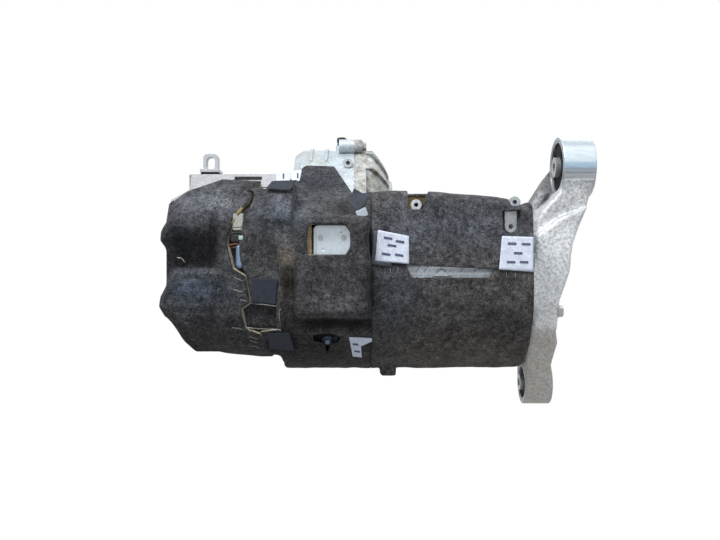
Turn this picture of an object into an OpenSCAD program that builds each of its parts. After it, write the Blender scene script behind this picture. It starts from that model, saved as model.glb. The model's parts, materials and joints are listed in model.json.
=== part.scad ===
// Electric drive unit: motor, two-stage gearbox, differential and inverter in felt covers.
// Layout axes: x along the motor shaft from the casing joint, y away from the covers, z up.

/* [Motor] */
// Outer radius of the motor housing
motor_r = 118; // [112:1:124]
// Wall of the motor housing
motor_wall = 9; // [7:0.5:12]
// Length of the motor housing
motor_len = 212; // [204:1:230]
// Height of the cooling ribs on the motor housing
rib_h = 2.5; // [1.5:0.5:4]
// Length of the stator stack
stator_len = 134; // [120:1:140]
// Depth of the stator core behind its slots
core_back = 11; // [9:0.5:13]
// Gap between rotor and stator
air_gap = 1; // [0.7:0.1:1.5]
// Number of stator slots
slot_n = 36; // [24:6:48]
// Radial depth of a stator slot
slot_d = 20; // [16:1:22]
// Length of each end winding beyond the stack
winding_reach = 21; // [16:1:24]
// Radius of the shaft inside the rotor
shaft_r = 22; // [20:0.5:26]
// Thickness of the end shield
shield_t = 16; // [14:1:20]

/* [Gears] */
// Tooth module of the first stage
mod_1 = 2.5; // [2.4:0.05:2.6]
// Teeth of the input pinion
teeth_in = 18; // [17:1:19]
// Teeth of the idler wheel
teeth_idler = 52; // [50:1:53]
// Tooth module of the second stage
mod_2 = 3.3; // [3.2:0.05:3.4]
// Teeth of the idler pinion
teeth_pin = 17; // [17:1:18]
// Teeth of the final drive ring
teeth_ring = 53; // [52:1:55]
// Face width of the first stage
face_1 = 26; // [20:1:30]
// Face width of the second stage
face_2 = 34; // [28:1:40]
// Direction from the motor axis to the idler axis
idler_angle = 56; // [52:1:60]
// Direction from the idler axis to the output axis
ring_angle = 31; // [28:1:34]
// Backlash of each pair of teeth
backlash = 0.3; // [0.2:0.05:0.4]

/* [Differential] */
// Module of the bevel teeth at their large end
bevel_mod = 3.3; // [3.1:0.1:3.4]
// Teeth of each side gear
teeth_side = 16; // [16:2:16]
// Teeth of each planet
teeth_planet = 10; // [10:2:10]
// Radius of the spider pin
spider_r = 7; // [6:0.5:8]
// Radius of the output socket in each side gear
socket_r = 14; // [13:0.5:15]

/* [Casings] */
// Wall of the gear casings
case_wall = 8; // [7:0.5:9]
// Depth of the gear housing from the joint to the motor face
housing_depth = 34; // [32:1:40]
// Room between the ring gear and the casing
gear_room = 5; // [4:0.5:7]
// Clear gap left round every seated piece
seat_gap = 0.15; // [0.1:0.05:0.2]

/* [Inverter] */
// Length of the inverter housing along the shaft
inverter_len = 173; // [165:1:185]
// Front face of the inverter, measured from the shaft
inverter_front = 95; // [93:1:99]
// Back face of the inverter, measured from the shaft
inverter_back = 80; // [76:1:84]
// Top of the inverter above the shaft
inverter_top = 172; // [166:1:178]
// Bottom of the inverter below the shaft
inverter_bottom = 92; // [88:1:96]
// Wall of the inverter housing
inverter_wall = 6; // [5:0.5:7]

/* [Mount bracket] */
// Height of the upper eye above the shaft
upper_eye_z = 188; // [180:1:196]
// Outer radius of the upper eye
upper_eye_r = 48; // [45:0.5:52]
// Length of the upper eye
upper_eye_len = 52; // [48:1:58]
// Depth of the lower eye below the shaft
lower_eye_z = 155; // [150:1:160]
// Outer radius of the lower eye
lower_eye_r = 34; // [32:0.5:38]
// Length of the lower eye
lower_eye_len = 43; // [40:1:46]
// Bore radius of the upper bush sleeve
upper_bolt_r = 7.2; // [6:0.1:9]
// Bore radius of the lower bush sleeve
lower_bolt_r = 6.2; // [5:0.1:8]

/* [Felt covers] */
// Thickness of the felt
felt_t = 10; // [8:0.5:13]
// Gap between the felt and what it covers
felt_gap = 0.4; // [0.3:0.1:0.6]
// Front of the padded box over the phase terminals, measured from the shaft
bump_front = 160; // [158:1:166]
// Thickness of the sewn closure tabs
tab_t = 1.6; // [1:0.2:2.4]

/* [Hidden] */
$fn = 48;
eps = 0.01;
// Positions along the shaft, from the casing joint at x = 0
motor_x0 = housing_depth;
motor_x1 = motor_x0 + motor_len;
shield_x1 = motor_x1 + shield_t;
stator_x0 = motor_x0 + (motor_len - stator_len) / 2;
stator_x1 = stator_x0 + stator_len;
tooth_lip = 3;
stator_bore_r = motor_r - motor_wall - core_back - slot_d - tooth_lip;
stage1_x1 = -8;
stage1_x0 = stage1_x1 - face_1;
stage2_x1 = stage1_x0 - 18;
stage2_x0 = stage2_x1 - face_2;
cover_wall = case_wall + 2;
cover_x = stage2_x0 - gear_room - 1 - cover_wall;
cover_in_x = cover_x + cover_wall;
wall_x0 = 12;
wall_x1 = wall_x0 + case_wall;
inverter_x0 = cover_x - inverter_len;
// Gear sizes and axis positions in the y, z plane
function dir(a) = [cos(a), sin(a)];
pitch_in = mod_1 * teeth_in / 2;
pitch_idler = mod_1 * teeth_idler / 2;
pitch_pin = mod_2 * teeth_pin / 2;
pitch_ring = mod_2 * teeth_ring / 2;
motor_pos = [0, 0];
idler_pos = (pitch_in + pitch_idler) * dir(idler_angle);
diff_pos = idler_pos + (pitch_pin + pitch_ring) * dir(ring_angle);
diff_angle = atan2(diff_pos[1], diff_pos[0]);
ring_tip_r = pitch_ring + mod_2;
case_r = ring_tip_r + gear_room + case_wall;
// Bearings as bore radius, outer radius and width
rotor_brg = [17.5, 36, 17];
idler_brg = [15, 31, 12];
diff_brg = [22.5, 42.5, 19];
rotor_brg_x = [motor_x0 - 19, motor_x1 - 10];
idler_brg_x = [cover_x + 2, wall_x0 + 1];
ball_room = 0.35;
// Differential, measured from the crossing point of its axes
side_r = bevel_mod * teeth_side / 2;
planet_r = bevel_mod * teeth_planet / 2;
cone_len = norm([side_r, planet_r]);
bevel_scale = 0.66;
cavity_r = side_r + 9.6;
carrier_r = cavity_r + case_wall;
cavity_half = planet_r + 19.5;
carrier_wall = 8;
diff_x = stage2_x1 + cavity_half + 6;
journal_bore_r = socket_r + 3;
carrier_x1 = diff_x + cavity_half + carrier_wall;
pilot_r = carrier_r + 13;
flange_r = pilot_r + 18;
flange_t = 8;
flange_x1 = stage2_x1 + flange_t;
diff_brg_x = [cover_in_x - diff_brg[2] - 1, carrier_x1 + 3];
seal_t = 7;
left_nose_x = diff_brg_x[0] - seal_t - 1;
right_nose_x = diff_brg_x[1] + diff_brg[2] + seal_t + 3;
seal_r = diff_brg[0] + 9;
side_back = planet_r + 17.5;
socket_x = diff_x + side_back;
// Phase terminal box on the casing front, and the dry duct behind it
box_x0 = -57;
box_x1 = -2;
box_z0 = 4;
box_z1 = 84;
lid_t = 4;
lid_rim = 2;
box_front = bump_front - felt_t - lid_t - lid_rim - felt_gap;
duct_y0 = -inverter_front - 1;
duct_y1 = duct_y0 + 32;
duct_z0 = 4;
duct_z1 = 56;
duct_wall = 5;
bar_w = 12;
bar_t = 3;
bar_y = duct_y0 + 14;
bar_z = [18, 30, 42];
// Bracket
upper_eye_x = shield_x1 + 62;
lower_eye_x = shield_x1 + 6;
bracket_half = 46;
bracket_bolts_yz = [[-36, 46], [36, 46], [-36, -40], [36, -40]];
bracket_seat_x = [shield_x1 + 52, shield_x1 + 52, shield_x1 + 54, shield_x1 + 54];
bolt_r = 5;
bolt_room = 0.4;
// Felt
felt_in_r = motor_r + rib_h + felt_gap;
felt_r = felt_in_r + felt_t;
wrap_x0 = motor_x0 - 7;
wrap_x1 = shield_x1 - 1;
flap_z0 = 30;
flap_gap = 1;
mid_x1 = wrap_x0 - 1;
left_felt_x = inverter_x0 - felt_t - 8;
// Row frame: the origin lies at the mouth of the right-hand output socket
row_origin = [socket_x, diff_pos[0], diff_pos[1]];

// Shared shapes

// A y, z outline pushed from x0 to x1
module along_x(x0, x1)
    translate([x0, 0, 0]) rotate([90, 0, 90]) linear_extrude(x1 - x0) children();

// An x, z outline pushed from y0 to y1
module along_y(y0, y1)
    translate([0, y1, 0]) rotate([90, 0, 0]) linear_extrude(y1 - y0) children();

// A round bar along the shaft direction
module rod(x0, x1, r, pos = [0, 0])
    translate([x0, pos[0], pos[1]]) rotate([0, 90, 0]) cylinder(h = x1 - x0, r = r);

// A tube along the shaft direction
module tube(x0, x1, r_out, r_in, pos = [0, 0])
    difference() {
        rod(x0, x1, r_out, pos);
        rod(x0 - 1, x1 + 1, r_in, pos);
    }

// A profile of radius and x points turned about an axis along the shaft direction
module turned(pos)
    translate([0, pos[0], pos[1]]) rotate([0, 90, 0]) rotate_extrude() children();

// A box given by its corners
module block(low, high)
    translate(low) cube(high - low);

// A round bar from y0 to y1 at x, z
module peg_y(x, z, y0, y1, r)
    translate([x, y1, z]) rotate([90, 0, 0]) cylinder(h = y1 - y0, r = r);

// The outline round two circles and their common tangents
module belt(r_a, r_b, a = [0, 0], b = diff_pos) {
    span = norm(b - a);
    axis = atan2(b[1] - a[1], b[0] - a[0]);
    open = acos((r_a - r_b) / span);
    inset = 0.1;
    translate(a) circle(r_a);
    translate(b) circle(r_b);
    polygon([a + (r_a - inset) * dir(axis + open), b + (r_b - inset) * dir(axis + open),
        b + (r_b - inset) * dir(axis - open), a + (r_a - inset) * dir(axis - open)]);
}

// A rectangle with round corners, from low to high
module round_rect(low, high, r) {
    translate(low + [r, 0]) square([high[0] - low[0] - 2 * r, high[1] - low[1]]);
    translate(low + [0, r]) square([high[0] - low[0], high[1] - low[1] - 2 * r]);
    for (x = [low[0] + r, high[0] - r])
        for (y = [low[1] + r, high[1] - r])
            translate([x, y]) circle(r);
}

// Half the angle of a gear tooth at radius rho
function inv(a) = tan(a) * 180 / PI - a;
function tooth_half(rho, pitch, teeth) =
    90 / teeth - backlash / 4 / pitch * 180 / PI + inv(20)
    - inv(acos(min(1, pitch * cos(20) / rho)));

// An involute gear outline with a tooth on the +y side turned by turn
module gear_outline(mod, teeth, turn) {
    pitch = mod * teeth / 2;
    root = pitch - 1.25 * mod;
    foot = max(root, pitch * cos(20));
    tip = pitch + mod;
    steps = [root, foot + 0.01, foot + (tip - foot) * 0.35, foot + (tip - foot) * 0.7, tip];
    last = len(steps) - 1;
    polygon([for (i = [0:teeth - 1], side = [-1, 1], k = [0:last])
        let (rho = steps[side < 0 ? k : last - k])
        rho * dir(turn + i * 360 / teeth + side * tooth_half(rho, pitch, teeth))]);
}

// A bevel gear whose teeth run to the apex at the origin, its large end at height reach
module bevel_gear(teeth, mate, turn) {
    cone = atan(teeth / mate);
    reach = bevel_mod * mate / 2;
    tip = reach * tan(cone + atan(0.75 * bevel_mod / cone_len));
    root = reach * tan(cone - atan(1.05 * bevel_mod / cone_len));
    pitch = bevel_mod * teeth / 2;
    half = 90 / teeth - 0.38 / pitch * 180 / PI;
    lean = [0.34, 1, 1.3];
    radii = [tip, pitch, root];
    points = [for (i = [0:teeth - 1], side = [-1, 1], k = [0:2])
        let (j = side < 0 ? 2 - k : k)
        radii[j] * dir(turn + i * 360 / teeth + side * half * lean[j])];
    translate([0, 0, reach]) mirror([0, 0, 1])
        linear_extrude(reach * (1 - bevel_scale), scale = bevel_scale) polygon(points);
}

// A hexagon bolt along +x with its head's seat at x
module bolt_x(x, pos, shank_r, shank_len, head_h) {
    rod(x - shank_len, x + eps, shank_r, pos);
    rod(x, x + 0.25 * head_h, 2.1 * shank_r, pos);
    translate([x, pos[0], pos[1]]) rotate([0, 90, 0]) cylinder(h = head_h, r = 1.8 * shank_r, $fn = 6);
}

// Bearing rings: the half of a ball bearing outside or inside its balls
module bearing_outer(spec, x, pos) {
    mid_r = (spec[0] + spec[1]) / 2;
    ball = (spec[1] - spec[0]) * 0.27;
    turned(pos) difference() {
        translate([mid_r + ball * 0.45, x]) square([spec[1] - seat_gap - mid_r - ball * 0.45, spec[2]]);
        translate([mid_r, x + spec[2] / 2]) circle(ball + ball_room);
    }
}
module bearing_inner(spec, x, pos) {
    mid_r = (spec[0] + spec[1]) / 2;
    ball = (spec[1] - spec[0]) * 0.27;
    turned(pos) difference() {
        translate([spec[0] + seat_gap, x]) square([mid_r - ball * 0.45 - spec[0] - seat_gap, spec[2]]);
        translate([mid_r, x + spec[2] / 2]) circle(ball + ball_room);
    }
    for (i = [0:7])
        translate([x + spec[2] / 2, pos[0], pos[1]]) rotate([i * 45, 0, 0])
            translate([0, mid_r, 0]) sphere(ball);
}

// Motor

module motor_housing() color("silver") {
    rib_n = 40;
    rib_w = 5;
    difference() {
        union() {
            rod(motor_x0, motor_x1, motor_r);
            for (i = [0:rib_n - 1])
                rotate([i * 360 / rib_n, 0, 0])
                    block([motor_x0 + 8, -rib_w / 2, motor_r - 3],
                        [motor_x1 - 8, rib_w / 2, motor_r + rib_h]);
            lead_boss();
            hang_tab();
        }
        rod(motor_x0 - 1, motor_x1 + 1, motor_r - motor_wall);
        peg_y(lead_boss_x, lead_boss_z, -40, -8, 3.4);
        peg_y(hang_tab_x, hang_tab_z, hang_tab_y - 1, hang_tab_y + 14, 3.4);
    }
}
// Threaded boss in the notch of the flap
lead_boss_x = motor_x0 + 64;
lead_boss_z = motor_r + 8;
module lead_boss() {
    peg_y(lead_boss_x, lead_boss_z, -28, 8, 8.5);
    block([lead_boss_x - 6, -14, motor_r - 6], [lead_boss_x + 6, 6, lead_boss_z]);
}
// Cast tab with a rounded foot in the flap's cut-out
hang_tab_x = motor_x1 - 14;
hang_tab_z = motor_r - 30;
hang_tab_y = 14 - motor_r;
module hang_tab() {
    along_y(hang_tab_y, hang_tab_y + 8) {
        translate([hang_tab_x, hang_tab_z]) circle(9);
        translate([hang_tab_x - 9, hang_tab_z]) square([18, 24]);
    }
    block([hang_tab_x - 9, hang_tab_y, hang_tab_z + 12], [hang_tab_x + 9, -motor_r / 3, hang_tab_z + 22]);
}

module end_shield() color("silver") {
    boss_r = rotor_brg[1] + 8;
    difference() {
        union() {
            rod(motor_x1, shield_x1, motor_r);
            rod(rotor_brg_x[1] - 2, shield_x1, boss_r);
            along_y(-20, 4) {
                translate([motor_x1 + 8, motor_r + 13]) circle(9);
                translate([motor_x1, motor_r - 10]) square([shield_t, 22]);
            }
        }
        rod(rotor_brg_x[1] - 3, rotor_brg_x[1] + rotor_brg[2], rotor_brg[1]);
        rod(rotor_brg_x[1], motor_x1 + 10, shaft_r);
        peg_y(motor_x1 + 8, motor_r + 13, -21, -6, 3.4);
        for (p = bracket_bolts_yz) rod(motor_x1 + 2, shield_x1 + 1, bolt_r + seat_gap, p);
        for (i = [0:7]) rod(motor_x1 - 1, shield_x1 + 1, 3.5, shield_bolt_pos(i));
    }
}
shield_bolt_n = 8;
function shield_bolt_pos(i) = (motor_r - motor_wall / 2) * dir(22.5 + i * 360 / shield_bolt_n);

module shield_bolts() color("dimgray")
    for (i = [0:shield_bolt_n - 1]) bolt_x(shield_x1, shield_bolt_pos(i), 3.2, shield_t, 5);

module stator_core() color("slategray")
    difference() {
        rod(stator_x0, stator_x1, motor_r - motor_wall - seat_gap);
        rod(stator_x0 - 1, stator_x1 + 1, stator_bore_r);
        for (i = [0:slot_n - 1])
            rotate([i * 360 / slot_n, 0, 0])
                block([stator_x0 - 1, -slot_w / 2, slot_r0], [stator_x1 + 1, slot_w / 2, slot_r0 + slot_d]);
    }
slot_w = PI * stator_bore_r / slot_n;
slot_r0 = stator_bore_r + tooth_lip;
slot_liner = 0.3;

module stator_winding() color("peru") {
    for (i = [0:slot_n - 1])
        rotate([i * 360 / slot_n, 0, 0])
            block([stator_x0 - 2, -slot_w / 2 + slot_liner, slot_r0 + slot_liner],
                [stator_x1 + 2, slot_w / 2 - slot_liner, slot_r0 + slot_d - slot_liner]);
    for (x = [stator_x0 - winding_reach, stator_x1 + 1])
        turned(motor_pos) translate([0, x])
            round_rect([slot_r0, 0], [slot_r0 + slot_d + 3, winding_reach - 1], 5);
}

module rotor_shaft() color("lightsteelblue") {
    turned(motor_pos) polygon([[6, stage1_x0 - 4], [16, stage1_x0 - 4], [16, rotor_brg_x[0] - 2],
        [21, rotor_brg_x[0] - 2], [21, rotor_brg_x[0]], [rotor_brg[0], rotor_brg_x[0]],
        [rotor_brg[0], motor_x0 + 2], [shaft_r, motor_x0 + 6], [shaft_r, rotor_brg_x[1]],
        [rotor_brg[0], rotor_brg_x[1]], [rotor_brg[0], rotor_brg_x[1] + rotor_brg[2] - 2],
        [6, rotor_brg_x[1] + rotor_brg[2] - 2]]);
    along_x(stage1_x0, stage1_x1) difference() {
        gear_outline(mod_1, teeth_in, idler_angle);
        circle(15);
    }
}

rotor_r = stator_bore_r - air_gap;
plate_t = 4;
module rotor_core() color("slategray")
    difference() {
        rod(stator_x0, stator_x1, rotor_r);
        rod(stator_x0 - 1, stator_x1 + 1, shaft_r + seat_gap);
        magnet_slots(0, 1);
        for (i = [0:5]) rod(stator_x0 - 1, stator_x1 + 1, 8, (shaft_r + 16) * dir(i * 60));
    }
// Pairs of bar magnets set in a V at each pole
module magnet_slots(room, over)
    for (i = [0:5], side = [-1, 1])
        rotate([i * 60 + side * 13, 0, 0]) translate([0, 0, rotor_r - 13]) rotate([side * 24, 0, 0])
            block([stator_x0 - over, -12 + room, -3 + room], [stator_x1 + over, 12 - room, 3 - room]);
module rotor_magnets() color("gray") magnet_slots(seat_gap, -0.5);

module rotor_end_plates() color("lightgray")
    for (x = [stator_x0 - plate_t, stator_x1]) tube(x, x + plate_t, rotor_r - 2, shaft_r + seat_gap);

module rotor_bearing_outer() color("lightgray")
    for (x = rotor_brg_x) bearing_outer(rotor_brg, x, motor_pos);
module rotor_bearing_inner() color("lightgray")
    for (x = rotor_brg_x) bearing_inner(rotor_brg, x, motor_pos);

// Gear train

module idler_shaft() color("lightsteelblue") {
    turned(idler_pos) polygon([[5, idler_brg_x[0]], [idler_brg[0], idler_brg_x[0]],
        [idler_brg[0], stage2_x0], [20, stage2_x0], [20, stage1_x0], [19, stage1_x0],
        [19, stage1_x1], [22, stage1_x1], [22, idler_brg_x[1] - 1], [idler_brg[0], idler_brg_x[1] - 1],
        [idler_brg[0], idler_brg_x[1] + idler_brg[2]], [5, idler_brg_x[1] + idler_brg[2]]]);
    along_x(stage2_x0, stage2_x1) translate(idler_pos) difference() {
        gear_outline(mod_2, teeth_pin, ring_angle);
        circle(18);
    }
}

module idler_wheel() color("lightsteelblue")
    difference() {
        along_x(stage1_x0, stage1_x1) translate(idler_pos)
            gear_outline(mod_1, teeth_idler, idler_angle + 180 + 180 / teeth_idler);
        rod(stage1_x0 - 1, stage1_x1 + 1, 19 + seat_gap, idler_pos);
        for (x = [stage1_x0 - 1, stage1_x1 - 7])
            tube(x, x + 8, pitch_idler - 9, 30, idler_pos);
    }

module idler_bearing_outer() color("lightgray")
    for (x = idler_brg_x) bearing_outer(idler_brg, x, idler_pos);
module idler_bearing_inner() color("lightgray")
    for (x = idler_brg_x) bearing_inner(idler_brg, x, idler_pos);

ring_bolt_n = 8;
ring_bolt_r = pilot_r + 9;
module ring_gear() color("lightsteelblue")
    difference() {
        along_x(stage2_x0, stage2_x1) translate(diff_pos)
            gear_outline(mod_2, teeth_ring, ring_angle + 180 + 180 / teeth_ring);
        rod(stage2_x0 - 1, stage2_x1 + 1, pilot_r + seat_gap, diff_pos);
    }

module diff_carrier() color("gray") {
    window_x = 24;
    difference() {
        turned(diff_pos) polygon([[journal_bore_r, left_nose_x + 3], [diff_brg[0], left_nose_x + 3],
            [diff_brg[0], diff_brg_x[0] + diff_brg[2]], [diff_brg[0] + 5, diff_brg_x[0] + diff_brg[2]],
            [diff_brg[0] + 5, stage2_x0], [pilot_r, stage2_x0], [pilot_r, stage2_x1],
            [flange_r, stage2_x1], [flange_r, flange_x1], [carrier_r, flange_x1],
            [carrier_r, carrier_x1 - 6], [diff_brg[0] + 5, carrier_x1], [diff_brg[0] + 5, diff_brg_x[1]],
            [diff_brg[0], diff_brg_x[1]], [diff_brg[0], right_nose_x - 4], [journal_bore_r, right_nose_x - 4],
            [journal_bore_r, diff_x + cavity_half], [cavity_r, diff_x + cavity_half],
            [cavity_r, diff_x - cavity_half], [journal_bore_r, diff_x - cavity_half]]);
        translate([diff_x, diff_pos[0], diff_pos[1] - carrier_r - 1])
            cylinder(h = 2 * carrier_r + 2, r = spider_r + seat_gap);
        block([diff_x - window_x, diff_pos[0] - carrier_r - 1, diff_pos[1] - 20],
            [diff_x + window_x, diff_pos[0] + carrier_r + 1, diff_pos[1] + 20]);
    }
    for (i = [0:ring_bolt_n - 1])
        translate([flange_x1 - eps, diff_pos[0], diff_pos[1]]) rotate([22.5 + i * 45, 0, 0])
            translate([0, ring_bolt_r, 0]) rotate([0, 90, 0]) cylinder(h = 4.5, r = 5.5, $fn = 6);
}

module spider_pin() color("lightgray")
    translate([diff_x, diff_pos[0], diff_pos[1] - carrier_r + 1])
        cylinder(h = 2 * carrier_r - 2, r = spider_r);

module diff_bearing_outer() color("lightgray")
    for (x = diff_brg_x) bearing_outer(diff_brg, x, diff_pos);
module diff_bearing_inner() color("lightgray")
    for (x = diff_brg_x) bearing_inner(diff_brg, x, diff_pos);

// A side gear with its splined output socket, at the origin and facing +z
spline_n = 18;
hub_share = 0.76;
module side_gear()
    difference() {
        union() {
            bevel_gear(teeth_side, teeth_planet, 0);
            translate([0, 0, planet_r - eps]) cylinder(h = side_back - planet_r, r = hub_share * side_r);
        }
        translate([0, 0, -1]) cylinder(h = side_back + 2, r = socket_r);
        for (i = [0:spline_n - 1])
            rotate([0, 0, i * 360 / spline_n])
                translate([socket_r - 2, -0.5, -1]) cube([3.2, 1, side_back - 8]);
    }
module right_side_gear() color("lightsteelblue")
    translate([diff_x, diff_pos[0], diff_pos[1]]) rotate([0, 90, 0]) side_gear();
module left_side_gear() color("lightsteelblue")
    translate([diff_x, diff_pos[0], diff_pos[1]]) rotate([0, -90, 0]) side_gear();

pin_room = 0.08;
module planet()
    difference() {
        union() {
            bevel_gear(teeth_planet, teeth_side, 180 / teeth_planet);
            translate([0, 0, side_r - eps]) cylinder(h = 5, r = hub_share * planet_r);
        }
        translate([0, 0, -1]) cylinder(h = 2 * side_r, r = spider_r + pin_room);
    }
module planet_top() color("lightsteelblue")
    translate([diff_x, diff_pos[0], diff_pos[1]]) planet();
module planet_bottom() color("lightsteelblue")
    translate([diff_x, diff_pos[0], diff_pos[1]]) rotate([180, 0, 0]) planet();

module output_seals() color("black") {
    tube(left_nose_x + 0.5, left_nose_x + 0.5 + seal_t, seal_r - seat_gap, diff_brg[0] + 0.3, diff_pos);
    tube(right_nose_x - 0.5 - seal_t, right_nose_x - 0.5, seal_r - seat_gap, diff_brg[0] + 0.3, diff_pos);
}

// Casings

bolt_boss_r = 12;
case_bolt_r = 4;
boss_depth = 26;
flange_t2 = 14;
case_bolt_angles = [112, 78, 44, 10, -24];
case_bolt_pos = concat([for (a = case_bolt_angles) diff_pos + (case_r + 10) * dir(a)],
    [0.5 * diff_pos + (motor_r + 4) * dir(diff_angle - 90)]);

// Dry passage for the phase bars through the oil space
module duct(grow)
    translate([duct_y0 - grow, duct_z0 - grow])
        square([duct_y1 - duct_y0 + 2 * grow, duct_z1 - duct_z0 + 2 * grow]);
module duct_shell(x0, x1)
    along_x(x0, x1) intersection() {
        duct(duct_wall);
        belt(motor_r - 1, case_r - 1);
    }

module gear_housing() color("silver") {
    cone = [[0, 0], [case_r, 0], [case_r, 18], [case_r - 7, 31], [case_r - 20, 42], [case_r - 36, 53],
        [diff_brg[1] + 9, right_nose_x - 5], [diff_brg[1] + 5, right_nose_x], [0, right_nose_x]];
    hollow = [[0, -1], [case_r - case_wall, -1], [case_r - case_wall, wall_x0], [case_r - 22, 24],
        [carrier_r + 4, 32], [carrier_r + 4, diff_brg_x[1] - 1], [0, diff_brg_x[1] - 1]];
    grown = [for (p = cone) [p[0] == 0 ? 0 : p[0] + 8, p[1]]];
    rib_n = 14;
    difference() {
        union() {
            difference() {
                union() {
                    along_x(0, wall_x1) belt(motor_r, case_r);
                    rod(0, motor_x0, motor_r);
                    turned(diff_pos) polygon(cone);
                    rod(0, idler_brg_x[1] + idler_brg[2] + 4, idler_brg[1] + 6, idler_pos);
                    for (p = case_bolt_pos) rod(0, flange_t2, bolt_boss_r, p);
                    intersection() {
                        for (i = [0:rib_n - 1])
                            translate([0, diff_pos[0], diff_pos[1]]) rotate([i * 360 / rib_n, 0, 0])
                                block([wall_x1 - 6, -2.5, diff_brg[1]], [right_nose_x - 6, 2.5, case_r]);
                        turned(diff_pos) polygon(grown);
                    }
                }
                rod(motor_x0, right_nose_x + 1, motor_r + rib_h + 2);
                along_x(-1, wall_x0) belt(motor_r - case_wall, case_r - case_wall);
                turned(diff_pos) polygon(hollow);
            }
            rod(rotor_brg_x[0] - 6, motor_x0, rotor_brg[1] + 8);
            duct_shell(0, wall_x0 + eps);
        }
        rod(rotor_brg_x[0], motor_x0 + 1, rotor_brg[1]);
        rod(rotor_brg_x[0] - 8, motor_x0, rotor_brg[1] - 7);
        rod(wall_x0 - 1, idler_brg_x[1] + idler_brg[2], idler_brg[1], idler_pos);
        rod(diff_brg_x[1] - 2, diff_brg_x[1] + diff_brg[2], diff_brg[1], diff_pos);
        rod(diff_brg_x[1], right_nose_x + 1, diff_brg[0] + 3, diff_pos);
        rod(right_nose_x - 0.5 - seal_t, right_nose_x + 1, seal_r, diff_pos);
        along_x(-1, motor_x0 + 1) duct(0);
        for (p = case_bolt_pos) rod(-1, flange_t2 + 1, case_bolt_r + bolt_room, p);
    }
}

step_x = 14;
module gear_cover() color("silver") {
    post_y = diff_pos[0] - 22;
    difference() {
        union() {
            difference() {
                union() {
                    along_x(cover_x + step_x, 0) belt(motor_r, case_r);
                    along_x(cover_x, cover_x + step_x) belt(motor_r, case_r - 9);
                    turned(diff_pos) polygon([[0, cover_x], [case_r - 9, cover_x], [case_r, cover_x + step_x],
                        [0, cover_x + step_x]]);
                    rod(left_nose_x, cover_x + eps, diff_brg[1] + 8, diff_pos);
                    for (p = case_bolt_pos) rod(-boss_depth, 0, bolt_boss_r, p);
                    translate([post_x, post_y, diff_pos[1]]) cylinder(h = post_top - diff_pos[1], r = post_r);
                    peg_y(front_boss_x, front_boss_z, front_boss_y, diff_pos[0], 8);
                    case_ribs();
                    block([box_x0, -box_front, box_z0], [box_x1, -70, box_z1]);
                    cooler_pads();
                }
                along_x(cover_in_x, 1) belt(motor_r - case_wall, case_r - case_wall);
                difference() {
                    block([box_x0 + duct_wall, -box_front - 1, box_z0 + duct_wall],
                        [box_x1 - duct_wall, -60, box_z1 - duct_wall]);
                    along_x(cover_x, 1) belt(motor_r - 0.5, case_r - 0.5);
                }
            }
            for (p = lid_screw_spots) peg_y(p[0], p[1], -box_front, screw_len + 4 - box_front, screw_boss_r);
            duct_shell(cover_in_x - eps, 0);
            rod(cover_x, idler_brg_x[0] + idler_brg[2], idler_brg[1] + 6, idler_pos);
        }
        along_x(cover_x - 1, 1) duct(0);
        block([box_x0 + 2 * duct_wall, -motor_r - 5, duct_z0 + duct_wall],
            [box_x1 - 2 * duct_wall, duct_y0 + 1, duct_z1 - duct_wall]);
        rod(idler_brg_x[0], cover_in_x + 8, idler_brg[1], idler_pos);
        rod(diff_brg_x[0], cover_in_x + 1, diff_brg[1], diff_pos);
        rod(left_nose_x - 1, diff_brg_x[0] + 1, diff_brg[0] + 3, diff_pos);
        rod(left_nose_x - 1, left_nose_x + 0.5 + seal_t, seal_r, diff_pos);
        for (p = case_bolt_pos) rod(4 - boss_depth, 1, case_bolt_r + seat_gap, p);
        peg_y(front_boss_x, front_boss_z, front_boss_y - 1, front_boss_y + 16, 3.4);
        for (p = lid_screw_spots)
            peg_y(p[0], p[1], -box_front - 1, screw_len + 1 - box_front, lid_screw_r + seat_gap);
        translate([post_x, post_y, post_top - 12]) cylinder(h = 13, r = vent_r + seat_gap);
    }
}
// Post for the breather, and the tapped boss beside the joint
post_x = -22;
post_r = 10;
post_top = diff_pos[1] + case_r + 6;
vent_r = 5;
front_boss_x = -10;
front_boss_z = diff_pos[1] + 71;
front_boss_y = 58;
// Hoops round the bare part of the casing, above the filter
rib_low = 60;
module case_ribs()
    intersection() {
        for (x = [-76, -50])
            along_x(x, x + 5) belt(motor_r + 3, case_r + 3);
        block([cover_x, 75, rib_low], [0, 300, 300]);
    }
// Frame on the lower back of the casing: x along the shaft, z outwards
module at_back(t)
    translate([0, t * cos(diff_angle), t * sin(diff_angle)]) rotate([180 + diff_angle, 0, 0]) children();
back_t = [54, 150];
pad_h = [motor_r - 1, motor_r - 5];
cooler_x = [-90, -14];
filter_x = -52;
module cooler_pads() {
    at_back(back_t[0]) block([cooler_x[0], -30, motor_r - 13], [cooler_x[1], 30, pad_h[0]]);
    at_back(back_t[1]) translate([filter_x, 0, motor_r - 20]) cylinder(h = pad_h[1] - motor_r + 20, r = 26);
}

module oil_cooler() color("lightgray")
    at_back(back_t[0]) {
        plates = 9;
        for (i = [0:plates - 1]) {
            translate([0, 0, pad_h[0] + i * 4]) linear_extrude(3)
                round_rect([cooler_x[0], -30], [cooler_x[1], 30], 8);
            translate([0, 0, pad_h[0] + i * 4 + 3 - eps]) linear_extrude(1 + 2 * eps)
                round_rect([cooler_x[0] + 2, -28], [cooler_x[1] - 2, 28], 8);
        }
        for (x = [cooler_x[0] + 16, cooler_x[1] - 16])
            translate([x, 14, pad_h[0] + plates * 4]) cylinder(h = 16, r = 8);
    }

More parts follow.
